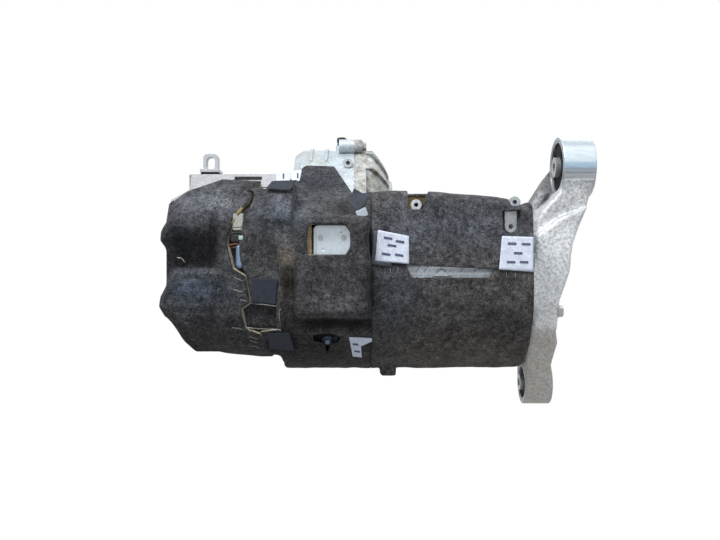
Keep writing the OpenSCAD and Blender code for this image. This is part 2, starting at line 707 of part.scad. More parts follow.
module oil_filter() color("black")
    at_back(back_t[1]) translate([filter_x, 0, pad_h[1]]) {
        rotate_extrude() polygon([[0, 0], [27, 0], [30, 4], [30, 54], [26, 60], [0, 60]]);
        translate([0, 0, 59]) cylinder(h = 8, r = 13, $fn = 6);
    }

module breather() color("black")
    translate([post_x, diff_pos[0] - 22, post_top]) {
        translate([0, 0, -11]) cylinder(h = 11 + eps, r = vent_r);
        cylinder(h = 4, r = 8, $fn = 6);
        rotate_extrude() polygon([[0, 4 - eps], [6, 4 - eps], [8.5, 6], [8.5, 12], [7, 14], [0, 14]]);
    }

module case_bolts() color("dimgray")
    for (p = case_bolt_pos) bolt_x(flange_t2, p, case_bolt_r, 32, 7);

pump_pos = [120, 0];
pump_r = 28;
module oil_pump() color("gray")
    turned(pump_pos) polygon([[0, cover_x], [pump_r + 6, cover_x], [pump_r + 6, cover_x - 8],
        [pump_r, cover_x - 8], [pump_r, cover_x - 56], [pump_r - 4, cover_x - 62], [14, cover_x - 62],
        [14, cover_x - 70], [0, cover_x - 70]]);

// Phase terminals

module terminal_lid() color("gainsboro") {
    rim = 4;
    low = [box_x0 + 2, box_z0 + 2];
    high = [box_x1 - 2, box_z1 - 1];
    along_y(-box_front - lid_t, -box_front) difference() {
        round_rect(low, high, 7);
        for (p = lid_screw_spots) translate(p) circle(lid_screw_r + seat_gap);
    }
    along_y(-box_front - lid_t - lid_rim, -box_front - lid_t + eps) difference() {
        round_rect(low, high, 7);
        round_rect(low + [rim, rim], high - [rim, rim], 4);
    }
}
lid_screw_r = 2;
screw_boss_r = 7;
lid_screw_spots = [for (x = [box_x0 + 11, box_x1 - 11], z = [box_z0 + 11, box_z1 - 14]) [x, z]];

module phase_busbars() color("chocolate")
    for (z = bar_z) {
        block([bar_x0, bar_y - bar_w / 2, z - bar_t / 2],
            [stator_x0 - winding_reach - 0.3, bar_y + bar_w / 2, z + bar_t / 2]);
        block([bar_x0, bar_y - bar_w / 2, z - bar_t / 2],
            [bar_x0 + bar_w, module_face - 0.2, z + bar_t / 2]);
    }

// Inverter

chamfer_low = 35;
chamfer_high = [50, 75];
back_plate = 20;
function inverter_outline(o) = [[-inverter_front - o, chamfer_low - inverter_bottom - 0.4 * o],
    [chamfer_low - inverter_front - 0.4 * o, -inverter_bottom - o], [inverter_back, -inverter_bottom - o],
    [inverter_back, inverter_top + o], [chamfer_high[0] - inverter_front - 0.3 * o, inverter_top + o],
    [-inverter_front - o, inverter_top - chamfer_high[1] + 0.4 * o]];
corner_cut = [40, 48];
top_cut = [25, 26, 42];
function inverter_front_view(o) = [[inverter_x0 + top_cut[0] - o, inverter_top + o + 1],
    [cover_x + 1, inverter_top + o + 1], [cover_x + 1, -inverter_bottom - o - 1],
    [inverter_x0 + corner_cut[0] - 0.4 * o, -inverter_bottom - o - 1],
    [inverter_x0 - o, corner_cut[1] - inverter_bottom - 0.4 * o],
    [inverter_x0 - o, inverter_top - top_cut[2] + 0.5 * o],
    [inverter_x0 + top_cut[0] - o, inverter_top - top_cut[1] + 0.5 * o]];
// The inverter's outer form, grown by o in side view and by end at its left end
module inverter_form(o, end, right)
    intersection() {
        along_x(inverter_x0 - end, right) polygon(inverter_outline(o));
        along_y(-300, 300) polygon(inverter_front_view(end));
    }
lid_z0 = corner_cut[1] - inverter_bottom + 4;
lid_z1 = inverter_top - chamfer_high[1] - 4;
cavity_back = inverter_back - back_plate;
module_t = 18;
module_face = cavity_back - module_t;
module_x = [for (i = [0:2]) inverter_x0 + 32 + i * 50];
module_z = [20, 95];
module_half = [20, 30];
bar_x0 = module_x[2] - 6;
// Posts of the control board stand below the modules and between their rows
post_z = [module_z[0] - module_half[1] - 6, (module_z[0] + module_z[1]) / 2];
post_spots = [for (x = [inverter_x0 + 18, module_x[2] - 25], z = post_z) [x, z]];
board_y = 0;
board_t = 2;

module inverter_housing() color("silver") {
    w = inverter_wall;
    difference() {
        union() {
            difference() {
                inverter_form(0, 0, cover_x);
                difference() {
                    inverter_form(-w, -w, cover_x - w);
                    block([inverter_x0, cavity_back, -200], [cover_x, 200, 300]);
                }
                block([inverter_x0 - 1, -inverter_front - 1, lid_z0],
                    [cover_x + 1, w - inverter_front, lid_z1]);
            }
            for (p = cover_screw_spots)
                peg_y(p[0], p[1], w - inverter_front, w - inverter_front + screw_len + 4, screw_boss_r);
        }
        for (p = cover_screw_spots)
            peg_y(p[0], p[1], -inverter_front, w - inverter_front + screw_len + 1, cover_screw_r + seat_gap);
        along_x(cover_x - w - 1, cover_x + 1) duct(-duct_wall);
        for (x = spigot_x) peg_y(x, spigot_z, inverter_back - 12, inverter_back + spigot_len, spigot_r - 2);
    }
    for (p = post_spots) peg_y(p[0], p[1], board_y + board_t, cavity_back + eps, 4);
    for (x = spigot_x) spigot(x);
    block([ear_x - 17, 5, inverter_top - eps], [ear_x + 18, 55, ear_z0]);
    block([ear_x - 31, 5, inverter_top - top_cut[1] + 0.5], [ear_x - 11, 55, ear_z0]);
}
spigot_x = [inverter_x0 + 55, inverter_x0 + 105];
spigot_z = -58;
spigot_r = 9;
spigot_len = 30;
module spigot(x)
    translate([x, inverter_back - eps, spigot_z]) rotate([-90, 0, 0]) difference() {
        cylinder(h = spigot_len, r = spigot_r);
        translate([0, 0, -1]) cylinder(h = spigot_len + 2, r = spigot_r - 2);
    }

module inverter_lid() color("silver")
    difference() {
        block([inverter_x0, -inverter_front, lid_z0], [cover_x, inverter_wall - inverter_front, lid_z1]);
        for (p = cover_screw_spots) peg_y(p[0], p[1], -inverter_front - 1, 0, cover_screw_r + seat_gap);
    }
cover_screw_in = 7;
cover_screw_r = 2.5;
cover_screw_spots = [for (x = [inverter_x0 + cover_screw_in, cover_x - cover_screw_in],
    z = [lid_z0 + 8, lid_z1 - 8]) [x, z]];

head_h = 3;
screw_len = 10;
module lid_screws() color("dimgray") {
    for (p = lid_screw_spots) {
        peg_y(p[0], p[1], -box_front - lid_t - eps, screw_len - box_front, lid_screw_r);
        peg_y(p[0], p[1], -box_front - lid_t - 1.5, -box_front - lid_t, 1.8 * lid_screw_r);
    }
    for (p = cover_screw_spots) {
        peg_y(p[0], p[1], -inverter_front - eps, inverter_wall - inverter_front + screw_len, cover_screw_r);
        peg_y(p[0], p[1], -inverter_front - head_h, -inverter_front, 1.8 * cover_screw_r);
    }
}

module power_modules() color("dimgray")
    for (x = module_x, z = module_z)
        block([x - module_half[0], module_face, z - module_half[1]],
            [x + module_half[0], cavity_back, z + module_half[1]]);

// The capacitor fills the space under the modules
capacitor_y = 10;
capacitor_z = [10 - inverter_bottom, module_z[0] - module_half[1] - 18];
module dc_capacitor() color("gray")
    block([inverter_x0 + 48, capacitor_y, capacitor_z[0]], [module_x[2] + 14, cavity_back, capacitor_z[1]]);

board_z = [-26, 120];
chip = [18, 4, 30];
chip_pitch = [28, 60];
module control_board() color("seagreen") {
    block([inverter_x0 + 10, board_y, board_z[0]], [module_x[2] - 18, board_y + board_t, board_z[1]]);
    for (i = [0:2], k = [0:1])
        translate([inverter_x0 + 26 + i * chip_pitch[0], board_y - chip[1], 10 + k * chip_pitch[1]])
            cube(chip + [0, eps, 0]);
}

// Plugs on the back of the inverter: middle, half size, depth and floor
hv_mid = [inverter_x0 + 70, 86];
hv_half = [30, 20];
hv_depth = 28;
hv_floor = 8;
pole_half = 15;
pole_r = 10;
module hv_connector() color("darkorange")
    difference() {
        along_y(inverter_back, inverter_back + hv_depth)
            round_rect(hv_mid - hv_half, hv_mid + hv_half, 8);
        for (x = [hv_mid[0] - pole_half, hv_mid[0] + pole_half])
            peg_y(x, hv_mid[1], inverter_back + hv_floor, inverter_back + hv_depth + 1, pole_r);
    }

signal_mid = [inverter_x0 + 134, 82.5];
signal_half = [16, 12.5];
signal_wall = 3;
signal_depth = 22;
signal_floor = 6;
module signal_connector() color("black")
    difference() {
        along_y(inverter_back, inverter_back + signal_depth)
            round_rect(signal_mid - signal_half, signal_mid + signal_half, 4);
        along_y(inverter_back + signal_floor, inverter_back + signal_depth + 1)
            translate(signal_mid) square(2 * signal_half - 2 * [signal_wall, signal_wall], center = true);
    }

pipe_x = cover_x - 65;
pipe_z = [32, 56];
pipe_r = 6;
pipe_y = -inverter_front - pipe_r - 1;
module coolant_pipe() color("lightsteelblue") {
    translate([pipe_x, pipe_y, pipe_z[0]]) cylinder(h = pipe_z[1] - pipe_z[0], r = pipe_r);
    for (z = pipe_z) {
        translate([pipe_x, pipe_y, z]) sphere(pipe_r);
        peg_y(pipe_x, z, pipe_y, -inverter_front, pipe_r);
    }
}

// Ear on the inverter

ear_x = inverter_x0 + 42;
ear_z0 = inverter_top + 5;
ear_pad_t = 5;
ear_slot_r = 7;
ear_top = ear_z0 + 36;
module ear_pad() color("black")
    block([ear_x - 14, 12, ear_z0], [ear_x + 14, 48, ear_z0 + ear_pad_t]);
module mount_ear() color("silver") {
    block([ear_x - 15, 10, ear_z0 + ear_pad_t], [ear_x + 15, 50, ear_z0 + ear_pad_t + 5]);
    along_y(22, 38) difference() {
        round_rect([ear_x - 12, ear_z0 + ear_pad_t], [ear_x + 12, ear_top], 7);
        translate([ear_x, ear_top - 12 - ear_slot_r]) circle(ear_slot_r);
        translate([ear_x, ear_top - 12]) circle(ear_slot_r);
        translate([ear_x - ear_slot_r, ear_top - 12 - ear_slot_r]) square([2 * ear_slot_r, ear_slot_r]);
    }
}

// Mount bracket and bushes

upper_eye_mid = upper_eye_x + upper_eye_len / 2;
lower_eye_mid = lower_eye_x + lower_eye_len / 2;
eye_wall = 7;
shell_t = 2;
sleeve_over = 4;
upper_sleeve_r = 16;
lower_sleeve_r = 13;
// Front view of the arm as x, z and half thickness, from the upper eye to the lower
arm_front = [[upper_eye_mid, upper_eye_z - 25, 25], [shield_x1 + 53, 93, 33], [shield_x1 + 44.5, 25, 28],
    [shield_x1 + 37, -22, 20], [shield_x1 + 31.5, -72, 21], [shield_x1 + 31.5, -95, 23],
    [lower_eye_mid, -lower_eye_z, lower_eye_len / 2]];
// Side view of the arm as z and half width
arm_side = [[upper_eye_z, upper_eye_r - 2], [70, bracket_half + 5], [-45, bracket_half + 3],
    [-lower_eye_z, lower_eye_r - 1]];

module arm()
    intersection() {
        along_y(-100, 100) for (i = [0:len(arm_front) - 2])
            belt(arm_front[i][2], arm_front[i + 1][2], [arm_front[i][0], arm_front[i][1]],
                [arm_front[i + 1][0], arm_front[i + 1][1]]);
        along_x(shield_x1, shield_x1 + 150) for (i = [0:len(arm_side) - 2])
            belt(arm_side[i][1], arm_side[i + 1][1], [0, arm_side[i][0]], [0, arm_side[i + 1][0]]);
    }

module mount_bracket() color("gainsboro") {
    upper = [0, upper_eye_z];
    lower = [0, -lower_eye_z];
    difference() {
        union() {
            arm();
            rod(shield_x1, shield_x1 + 24, 60);
            rod(upper_eye_x, upper_eye_x + upper_eye_len, upper_eye_r, upper);
            rod(lower_eye_x, lower_eye_x + lower_eye_len, lower_eye_r, lower);
            along_y(12, 40) belt(12, 14, [upper_eye_x + 6, upper_eye_z - 14], [shield_x1 + 24, 100]);
        }
        rod(upper_eye_x - 50, upper_eye_x + upper_eye_len + 1, upper_eye_r - eye_wall, upper);
        rod(lower_eye_x - 1, lower_eye_x + lower_eye_len + 1, lower_eye_r - eye_wall, lower);
        for (i = [0:3]) {
            rod(shield_x1 - 1, bracket_seat_x[i] + 1, bolt_r + bolt_room, bracket_bolts_yz[i]);
            rod(bracket_seat_x[i], bracket_seat_x[i] + 40, 2.5 * bolt_r, bracket_bolts_yz[i]);
        }
        along_x(shield_x1 + 46, shield_x1 + 90) round_rect([-22, -24], [22, 28], 10);
        along_x(shield_x1 - 1, shield_x1 + 12) circle(44);
    }
}

module bracket_bolts() color("dimgray")
    for (i = [0:3])
        bolt_x(bracket_seat_x[i], bracket_bolts_yz[i], bolt_r, bracket_seat_x[i] - motor_x1 - 3, 9);

module bush_shell(x, length, r, pos)
    tube(x + 1, x + length - 1, r - seat_gap, r - shell_t, pos);
module bush_rubber(x, length, r, r_in, pos)
    difference() {
        tube(x + 4, x + length - 4, r - shell_t - seat_gap, r_in + seat_gap, pos);
        for (a = [40, 220])
            translate([x - 1, pos[0], pos[1]]) rotate([0, 90, 0]) rotate([0, 0, a])
                rotate_extrude(angle = 100) translate([r_in + 5, 0])
                    square([r - shell_t - r_in - 10, length + 2]);
    }

module upper_bush_shell() color("darkgray")
    bush_shell(upper_eye_x, upper_eye_len, upper_eye_r - eye_wall, [0, upper_eye_z]);
module upper_bush_rubber() color("black")
    bush_rubber(upper_eye_x, upper_eye_len, upper_eye_r - eye_wall, upper_sleeve_r, [0, upper_eye_z]);
module upper_bush_sleeve() color("lightgray")
    tube(upper_eye_x - sleeve_over, upper_eye_x + upper_eye_len + sleeve_over,
        upper_sleeve_r, upper_bolt_r, [0, upper_eye_z]);
module lower_bush_shell() color("darkgray")
    bush_shell(lower_eye_x, lower_eye_len, lower_eye_r - eye_wall, [0, -lower_eye_z]);
module lower_bush_rubber() color("black")
    bush_rubber(lower_eye_x, lower_eye_len, lower_eye_r - eye_wall, lower_sleeve_r, [0, -lower_eye_z]);
module lower_bush_sleeve() color("lightgray")
    tube(lower_eye_x - sleeve_over, lower_eye_x + lower_eye_len + sleeve_over,
        lower_sleeve_r, lower_bolt_r, [0, -lower_eye_z]);

// Felt covers

lid_room = head_h + felt_gap;
// Edges of the left and middle covers in front view, top to bottom, from the casing cover
function from_x(x, points) = [for (p = points) [x + p[0], p[1]]];
left_edge = from_x(cover_x, [[-29, 170], [-48, 132], [-66, 103], [-75, 60], [-75, 27], [-51, 14], [-44, -24],
    [-58, -30], [-55, -55], [-32, -70], [-21, -93], [-21, -140]]);
mid_edge = from_x(cover_x, [[-24, 165], [-35, 139], [-49, 96], [-49, 20], [-40, 8], [-40, -24], [-8, -28],
    [-8, -62], [-28, -66], [-17, -93], [-17, -140]]);
left_top = from_x(inverter_x0, [[-45, 118], [-15, 128], [10, 140], [50, 153], [80, 163]]);
mid_top = [[mid_x1, -140], [mid_x1, 148], [-2, 148], [-33, 190], [-85, 190]];
bump_low = [box_x0 - 26, box_z0 - 47];
bump_high = [box_x1 + 25, box_z1 + 18];
window_low = [box_x0 - 7, box_z0 + 41];
window_high = [box_x1 + 1, box_z1 + 8];
sensor_angle = 221;
sensor_x = -38;

module left_felt_cover() color("dimgray")
    intersection() {
        difference() {
            union() {
                inverter_form(lid_room + felt_t, felt_gap + felt_t, -100);
                felt_lobe(left_felt_x, 22, 130, 34);
                felt_lobe(left_felt_x, -62, 18, 28);
            }
            inverter_form(lid_room, felt_gap, -90);
        }
        along_y(-200, 40) polygon(concat(left_top, left_edge, [[-320, -140]]));
    }
// A pillow round the left end, its left side at x, rounded in all three views
lobe_y = [-128, 14];
lobe_len = 102;
module felt_lobe(x, z_low, z_high, r)
    intersection() {
        along_x(x, x + lobe_len) round_rect([lobe_y[0], z_low], [lobe_y[1], z_high], r);
        along_y(lobe_y[0], lobe_y[1]) round_rect([x, z_low], [x + lobe_len, z_high], r);
        translate([0, 0, z_low]) linear_extrude(z_high - z_low)
            round_rect([x, lobe_y[0]], [x + lobe_len, lobe_y[1]], r);
    }

module mid_felt_cover() color("dimgray")
    intersection() {
        difference() {
            union() {
                along_x(cover_x, mid_x1) intersection() {
                    belt(felt_r, case_r + felt_gap + felt_t);
                    polygon([[-220, -200], [40, -200], [40, 0], [70, 0], [70, 200], [-220, 200]]);
                }
                intersection() {
                    inverter_form(lid_room + felt_t, felt_gap + felt_t, cover_x + eps);
                    block([-160, -200, -200], [cover_x + 1, 40, 200]);
                }
                along_y(-bump_front, -60) round_rect(bump_low, bump_high, 12);
            }
            along_x(cover_x - eps, mid_x1 + 1) belt(motor_r + felt_gap, case_r + felt_gap);
            inverter_form(lid_room, felt_gap, cover_x + eps);
            along_y(felt_t - bump_front, -40)
                round_rect(bump_low + [felt_t, felt_t], bump_high - [felt_t, felt_t], 6);
            along_y(-200, -100) round_rect(window_low, window_high, 6);
            at_sensor() block([-17, -9, 100], [17, 9, 150]);
        }
        along_y(-200, 100) polygon(concat(mid_edge, mid_top));
    }

module at_sensor()
    translate([sensor_x, 0, 0]) rotate([sensor_angle - 90, 0, 0]) children();
module speed_sensor() color("black")
    at_sensor() {
        translate([0, 0, motor_r + 0.2]) cylinder(h = 5, r = 8);
        translate([0, 0, motor_r + 5]) cylinder(h = 4, r = 5, $fn = 6);
        translate([9, -5, motor_r + 0.4]) cube([6, 10, 3]);
    }

corner_r = 34;
corner_pos = [corner_r - motor_r, motor_r - 7];
flap_top = [motor_r + 27, motor_r + 3];
module motor_felt_wrap() color("dimgray")
    difference() {
        along_x(wrap_x0, wrap_x1) intersection() {
            difference() {
                circle(felt_r);
                circle(felt_in_r);
            }
            polygon([[-200, -200], [200, -200], [200, -18], [0, -18], [0, flap_z0 - flap_gap],
                [-200, flap_z0 - flap_gap]]);
        }
        along_y(-200, -60) polygon([[78, flap_z0 + 1], [204, flap_z0 + 1], [196, 14], [86, 14]]);
    }

module motor_felt_flap() color("dimgray")
    difference() {
        intersection() {
            union() {
                rod(wrap_x0, wrap_x1, felt_r);
                intersection() {
                    along_x(wrap_x0, wrap_x1) hull() {
                        circle(felt_r);
                        translate(corner_pos) circle(corner_r);
                    }
                    along_y(-200, 60) polygon([[wrap_x0 - 1, 0], [wrap_x1 + 1, 0], [wrap_x1 + 1, flap_top[1]],
                        [wrap_x0 + 30, flap_top[0]], [wrap_x0 - 1, flap_top[0] - 8]]);
                }
            }
            along_x(wrap_x0 - 1, wrap_x1 + 1)
                polygon([[-200, flap_z0], [0, flap_z0], [0, 60], [36, 60], [36, 200], [-200, 200]]);
        }
        rod(wrap_x0 - 1, wrap_x1 + 1, felt_in_r);
        block([lead_boss_x - 13, -200, lead_boss_z - 14], [lead_boss_x + 18, 60, 200]);
        block([hang_tab_x - 12, -200, hang_tab_z - 12], [hang_tab_x + 12, -40, hang_tab_z + 30]);
        block([motor_x1 - 4, -26, 60], [wrap_x1 + 1, 60, 200]);
        block([motor_x1 - 4, -200, motor_r + 2], [wrap_x1 + 1, 60, 200]);
    }

// Sewn tabs lie on the straight front of the flap, found from its two rounds
function front_open(a, b, r_a, r_b) = atan2(b[1] - a[1], b[0] - a[0]) + acos((r_a - r_b) / norm(b - a));
flap_normal = front_open([0, 0], corner_pos, felt_r, corner_r);
slope_normal = front_open([0, 0], diff_pos, felt_r, case_r + felt_gap + felt_t);
module tab_on(normal, r, x0, x1, z0, z1) {
    lift = r + felt_gap;
    along_x(x0, x1) polygon([spot_at(normal, z0, lift), spot_at(normal, z1, lift),
        spot_at(normal, z1, lift + tab_t), spot_at(normal, z0, lift + tab_t)]);
}
// The point of height z on the line at distance h along normal
function spot_at(normal, z, h) = [(h - z * sin(normal)) / cos(normal), z];
module white_tabs() color("white") {
    tab_on(flap_normal, felt_r, wrap_x0 + 9, wrap_x0 + 54, 33, 82);
    tab_on(flap_normal, felt_r, wrap_x1 - 46, wrap_x1 - 1, 33, 78);
    tab_on(slope_normal, felt_r, cover_x + 2, cover_x + 30, 158, 178);
    translate([-6, 0, 0]) rotate([90, 0, 90]) rotate([0, 0, 217]) rotate_extrude(angle = 13)
        translate([felt_r + felt_gap, 0]) square([tab_t, 32]);
}
module dark_tabs() color("black") {
    tab_on(slope_normal, felt_r, -9, 20, 106, 142);
    block([cover_x - 38, -inverter_front - lid_room - felt_t - felt_gap - tab_t, -24],
        [cover_x - 2, -inverter_front - lid_room - felt_t - felt_gap, 12]);
}

module in_row_frame() translate(-row_origin) children();

in_row_frame() motor_housing();
in_row_frame() end_shield();
in_row_frame() gear_housing();
in_row_frame() gear_cover();
in_row_frame() stator_core();
in_row_frame() stator_winding();
in_row_frame() inverter_housing();
in_row_frame() inverter_lid();
in_row_frame() power_modules();
in_row_frame() dc_capacitor();
in_row_frame() control_board();
in_row_frame() phase_busbars();
in_row_frame() terminal_lid();
in_row_frame() mount_bracket();
in_row_frame() bracket_bolts();
in_row_frame() upper_bush_shell();
in_row_frame() upper_bush_rubber();
in_row_frame() upper_bush_sleeve();
in_row_frame() lower_bush_shell();
in_row_frame() lower_bush_rubber();
in_row_frame() lower_bush_sleeve();
in_row_frame() mount_ear();
in_row_frame() ear_pad();
in_row_frame() breather();
in_row_frame() speed_sensor();
in_row_frame() coolant_pipe();
in_row_frame() hv_connector();
in_row_frame() signal_connector();
in_row_frame() oil_pump();
in_row_frame() oil_filter();
in_row_frame() oil_cooler();
in_row_frame() case_bolts();
in_row_frame() shield_bolts();
in_row_frame() lid_screws();
in_row_frame() rotor_bearing_outer();
in_row_frame() idler_bearing_outer();
in_row_frame() diff_bearing_outer();
in_row_frame() output_seals();
in_row_frame() left_felt_cover();
in_row_frame() mid_felt_cover();
in_row_frame() motor_felt_wrap();
in_row_frame() motor_felt_flap();
in_row_frame() white_tabs();
in_row_frame() dark_tabs();
in_row_frame() rotor_shaft();
in_row_frame() rotor_core();
in_row_frame() rotor_magnets();
in_row_frame() rotor_end_plates();
in_row_frame() rotor_bearing_inner();
in_row_frame() idler_shaft();
in_row_frame() idler_wheel();
in_row_frame() idler_bearing_inner();
in_row_frame() ring_gear();
in_row_frame() diff_carrier();
in_row_frame() spider_pin();
in_row_frame() diff_bearing_inner();
in_row_frame() left_side_gear();
in_row_frame() right_side_gear();
in_row_frame() planet_top();
in_row_frame() planet_bottom();
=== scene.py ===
"""Looks of the electric drive unit: felt covers, castings, cloth tabs, light and camera."""
import json
import math

import bmesh
import bpy
import numpy as np
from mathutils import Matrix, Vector

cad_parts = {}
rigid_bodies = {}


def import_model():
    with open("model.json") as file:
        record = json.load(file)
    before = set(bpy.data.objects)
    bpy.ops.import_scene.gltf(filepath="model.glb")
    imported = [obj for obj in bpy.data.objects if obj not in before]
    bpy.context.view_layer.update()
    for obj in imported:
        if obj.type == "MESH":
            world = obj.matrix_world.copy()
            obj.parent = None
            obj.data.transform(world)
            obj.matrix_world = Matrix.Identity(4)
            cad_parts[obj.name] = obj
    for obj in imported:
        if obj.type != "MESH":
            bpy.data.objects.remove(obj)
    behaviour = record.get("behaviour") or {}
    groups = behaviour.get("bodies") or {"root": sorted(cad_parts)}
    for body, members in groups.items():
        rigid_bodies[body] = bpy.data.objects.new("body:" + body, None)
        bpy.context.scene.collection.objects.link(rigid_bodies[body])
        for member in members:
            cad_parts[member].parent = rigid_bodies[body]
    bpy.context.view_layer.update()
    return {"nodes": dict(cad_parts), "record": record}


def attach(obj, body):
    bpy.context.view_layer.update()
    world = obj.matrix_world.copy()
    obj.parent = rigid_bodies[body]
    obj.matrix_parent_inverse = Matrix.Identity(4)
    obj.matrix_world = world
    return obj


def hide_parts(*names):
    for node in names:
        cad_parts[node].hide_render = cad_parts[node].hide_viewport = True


for old in list(bpy.data.objects):
    bpy.data.objects.remove(old)

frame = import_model()
nodes = frame["nodes"]

# Shapes are worked out in millimetres from the motor axis and the casing joint, as in the CAD source,
# and moved to the row frame when a mesh is made.
ORIGIN = np.array([24.0, 147.932202, 132.027685])
# The camera looks along y. A pixel of the photograph is PIXEL wide at the depth of the motor axis.
CAMERA_DIST = 1300.0
CAMERA_X, CAMERA_Z = 10.0, 24.0
PIXEL = 1.6
PHOTO_WIDTH, MID_U, MID_V = 720, 360, 270


def row(points):
    """Millimetres in the unit's layout to metres in the row frame."""
    return (np.asarray(points, float) - ORIGIN) / 1000.0


def pixel_at(y):
    return PIXEL * (CAMERA_DIST + y) / CAMERA_DIST


def seen(u, v, y):
    """The x and z at depth y that the photograph shows at pixel u, v."""
    s = pixel_at(y)
    return (u - MID_U) * s + CAMERA_X, CAMERA_Z + (MID_V - v) * s


def project(x, y, z):
    """The pixel of the photograph at which a point shows."""
    s = pixel_at(y)
    return MID_U + (x - CAMERA_X) / s, MID_V - (z - CAMERA_Z) / s


def outline_at(y, *pixels):
    """An outline of x and z at depth y, from its pixels."""
    return [seen(u, v, y) for u, v in pixels]


# ---------------------------------------------------------------- materials


class Tree:
    """A node tree with short helpers."""

    def __init__(self, tree):
        self.tree = tree

    def put(self, socket, value):
        """Links an output to a socket, or sets the socket to a number, a vector or a colour."""
        if isinstance(value, bpy.types.NodeSocket):
            self.tree.links.new(value, socket)
        elif socket.type == "RGBA":
            socket.default_value = (*value, 1)
        else:
            socket.default_value = value

    def add(self, kind, sockets=(), **settings):
        """A new node; sockets are given by name or, where names repeat, by number."""
        node = self.tree.nodes.new("ShaderNode" + kind)
        for key, value in settings.items():
            setattr(node, key, value)
        for key, value in dict(sockets).items():
            self.put(node.inputs[key], value)
        return node

    def ramp(self, fac, *stops):
        node = self.add("ValToRGB", {"Fac": fac})
        while len(node.color_ramp.elements) < len(stops):
            node.color_ramp.elements.new(0.5)
        for e, (pos, color) in zip(node.color_ramp.elements, stops):
            e.position = pos
            e.color = (*color, 1)
        return node.outputs["Color"]

    def spread(self, value, low, high, to_low=0.0, to_high=1.0):
        """A value's range from low to high, mapped and clamped to another range."""
        ends = {"From Min": low, "From Max": high, "To Min": to_low, "To Max": to_high}
        return self.add("MapRange", {"Value": value, **ends}).outputs["Result"]

    def math(self, op, a, b=0.0, clamp=False):
        return self.add("Math", {0: a, 1: b}, operation=op, use_clamp=clamp).outputs[0]

    def seen_directly(self):
        """One for rays that should meet the white background: camera, glossy and transmission rays."""
        rays = self.add("LightPath").outputs
        both = self.math("ADD", rays["Is Camera Ray"], rays["Is Glossy Ray"], True)
        return self.math("ADD", both, rays["Is Transmission Ray"], True)

    def mix_shaders(self, fac, a, b, output):
        mixed = self.add("MixShader", {0: fac, 1: a.outputs[0], 2: b.outputs[0]})
        self.put(self.tree.nodes[output].inputs["Surface"], mixed.outputs[0])


class Nodes(Tree):
    """A material's node tree, with textures in the object's own metres."""

    def __init__(self, name, color, rough, metal=0.0, gloss=0.5, sheen=0.0):
        self.mat = bpy.data.materials.new(name)
        self.mat.use_nodes = True
        super().__init__(self.mat.node_tree)
        self.bsdf = self.tree.nodes["Principled BSDF"]
        for key, value in (("Base Color", color), ("Roughness", rough), ("Metallic", metal),
                           ("Specular IOR Level", gloss), ("Sheen Weight", sheen)):
            self.put(self.bsdf.inputs[key], value)
        self.coords = self.add("TexCoord").outputs["Object"]

    def noise(self, scale, detail=3.0, rough=0.55, stretch=(1, 1, 1), seed=0.0, turn=(0, 0, 0)):
        place = self.add("Mapping", {"Vector": self.coords, "Location": (seed, seed * 0.7, -seed),
                                     "Rotation": turn, "Scale": stretch})
        return self.add("TexNoise", {"Vector": place.outputs["Vector"], "Scale": scale, "Detail": detail,
                                     "Roughness": rough}).outputs["Fac"]

    def vary(self, noise, low, high):
        """A noise's usual range, mapped to low and high."""
        return self.spread(noise, 0.3, 0.7, low, high)

    def attribute(self, name):
        return self.add("Attribute", attribute_name=name).outputs["Fac"]

    def times(self, *values):
        out = values[0]
        for v in values[1:]:
            out = self.math("MULTIPLY", out, v)
        return out

    def mix(self, fac, a, b, blend="MIX"):
        # The colour sockets of this node come after its float and vector ones
        return self.add("Mix", {0: fac, 6: a, 7: b}, data_type="RGBA", blend_type=blend).outputs[2]

    def shaded(self, color, *shades):
        return self.mix(1.0, color, self.times(*shades), "MULTIPLY")

    def bump(self, height, distance, strength, normal=None):
        sockets = {"Strength": strength, "Distance": distance, "Height": height}
        if normal is not None:
            sockets["Normal"] = normal
        return self.add("Bump", sockets).outputs["Normal"]

    def soft_edge(self, radius):
        return self.add("Bevel", {"Radius": radius}, samples=4).outputs["Normal"]

    def out(self, color, rough, normal):
        for key, value in (("Base Color", color), ("Roughness", rough), ("Normal", normal)):
            if value is not None:
                self.put(self.bsdf.inputs[key], value)
        return self.mat


FOAM, LINT, RUBBED = (0.42, 0.37, 0.28), (0.30, 0.30, 0.31), (0.27, 0.265, 0.26)
BLUISH, BROWNISH = (0.80, 1.0, 1.30), (1.16, 1.0, 0.78)


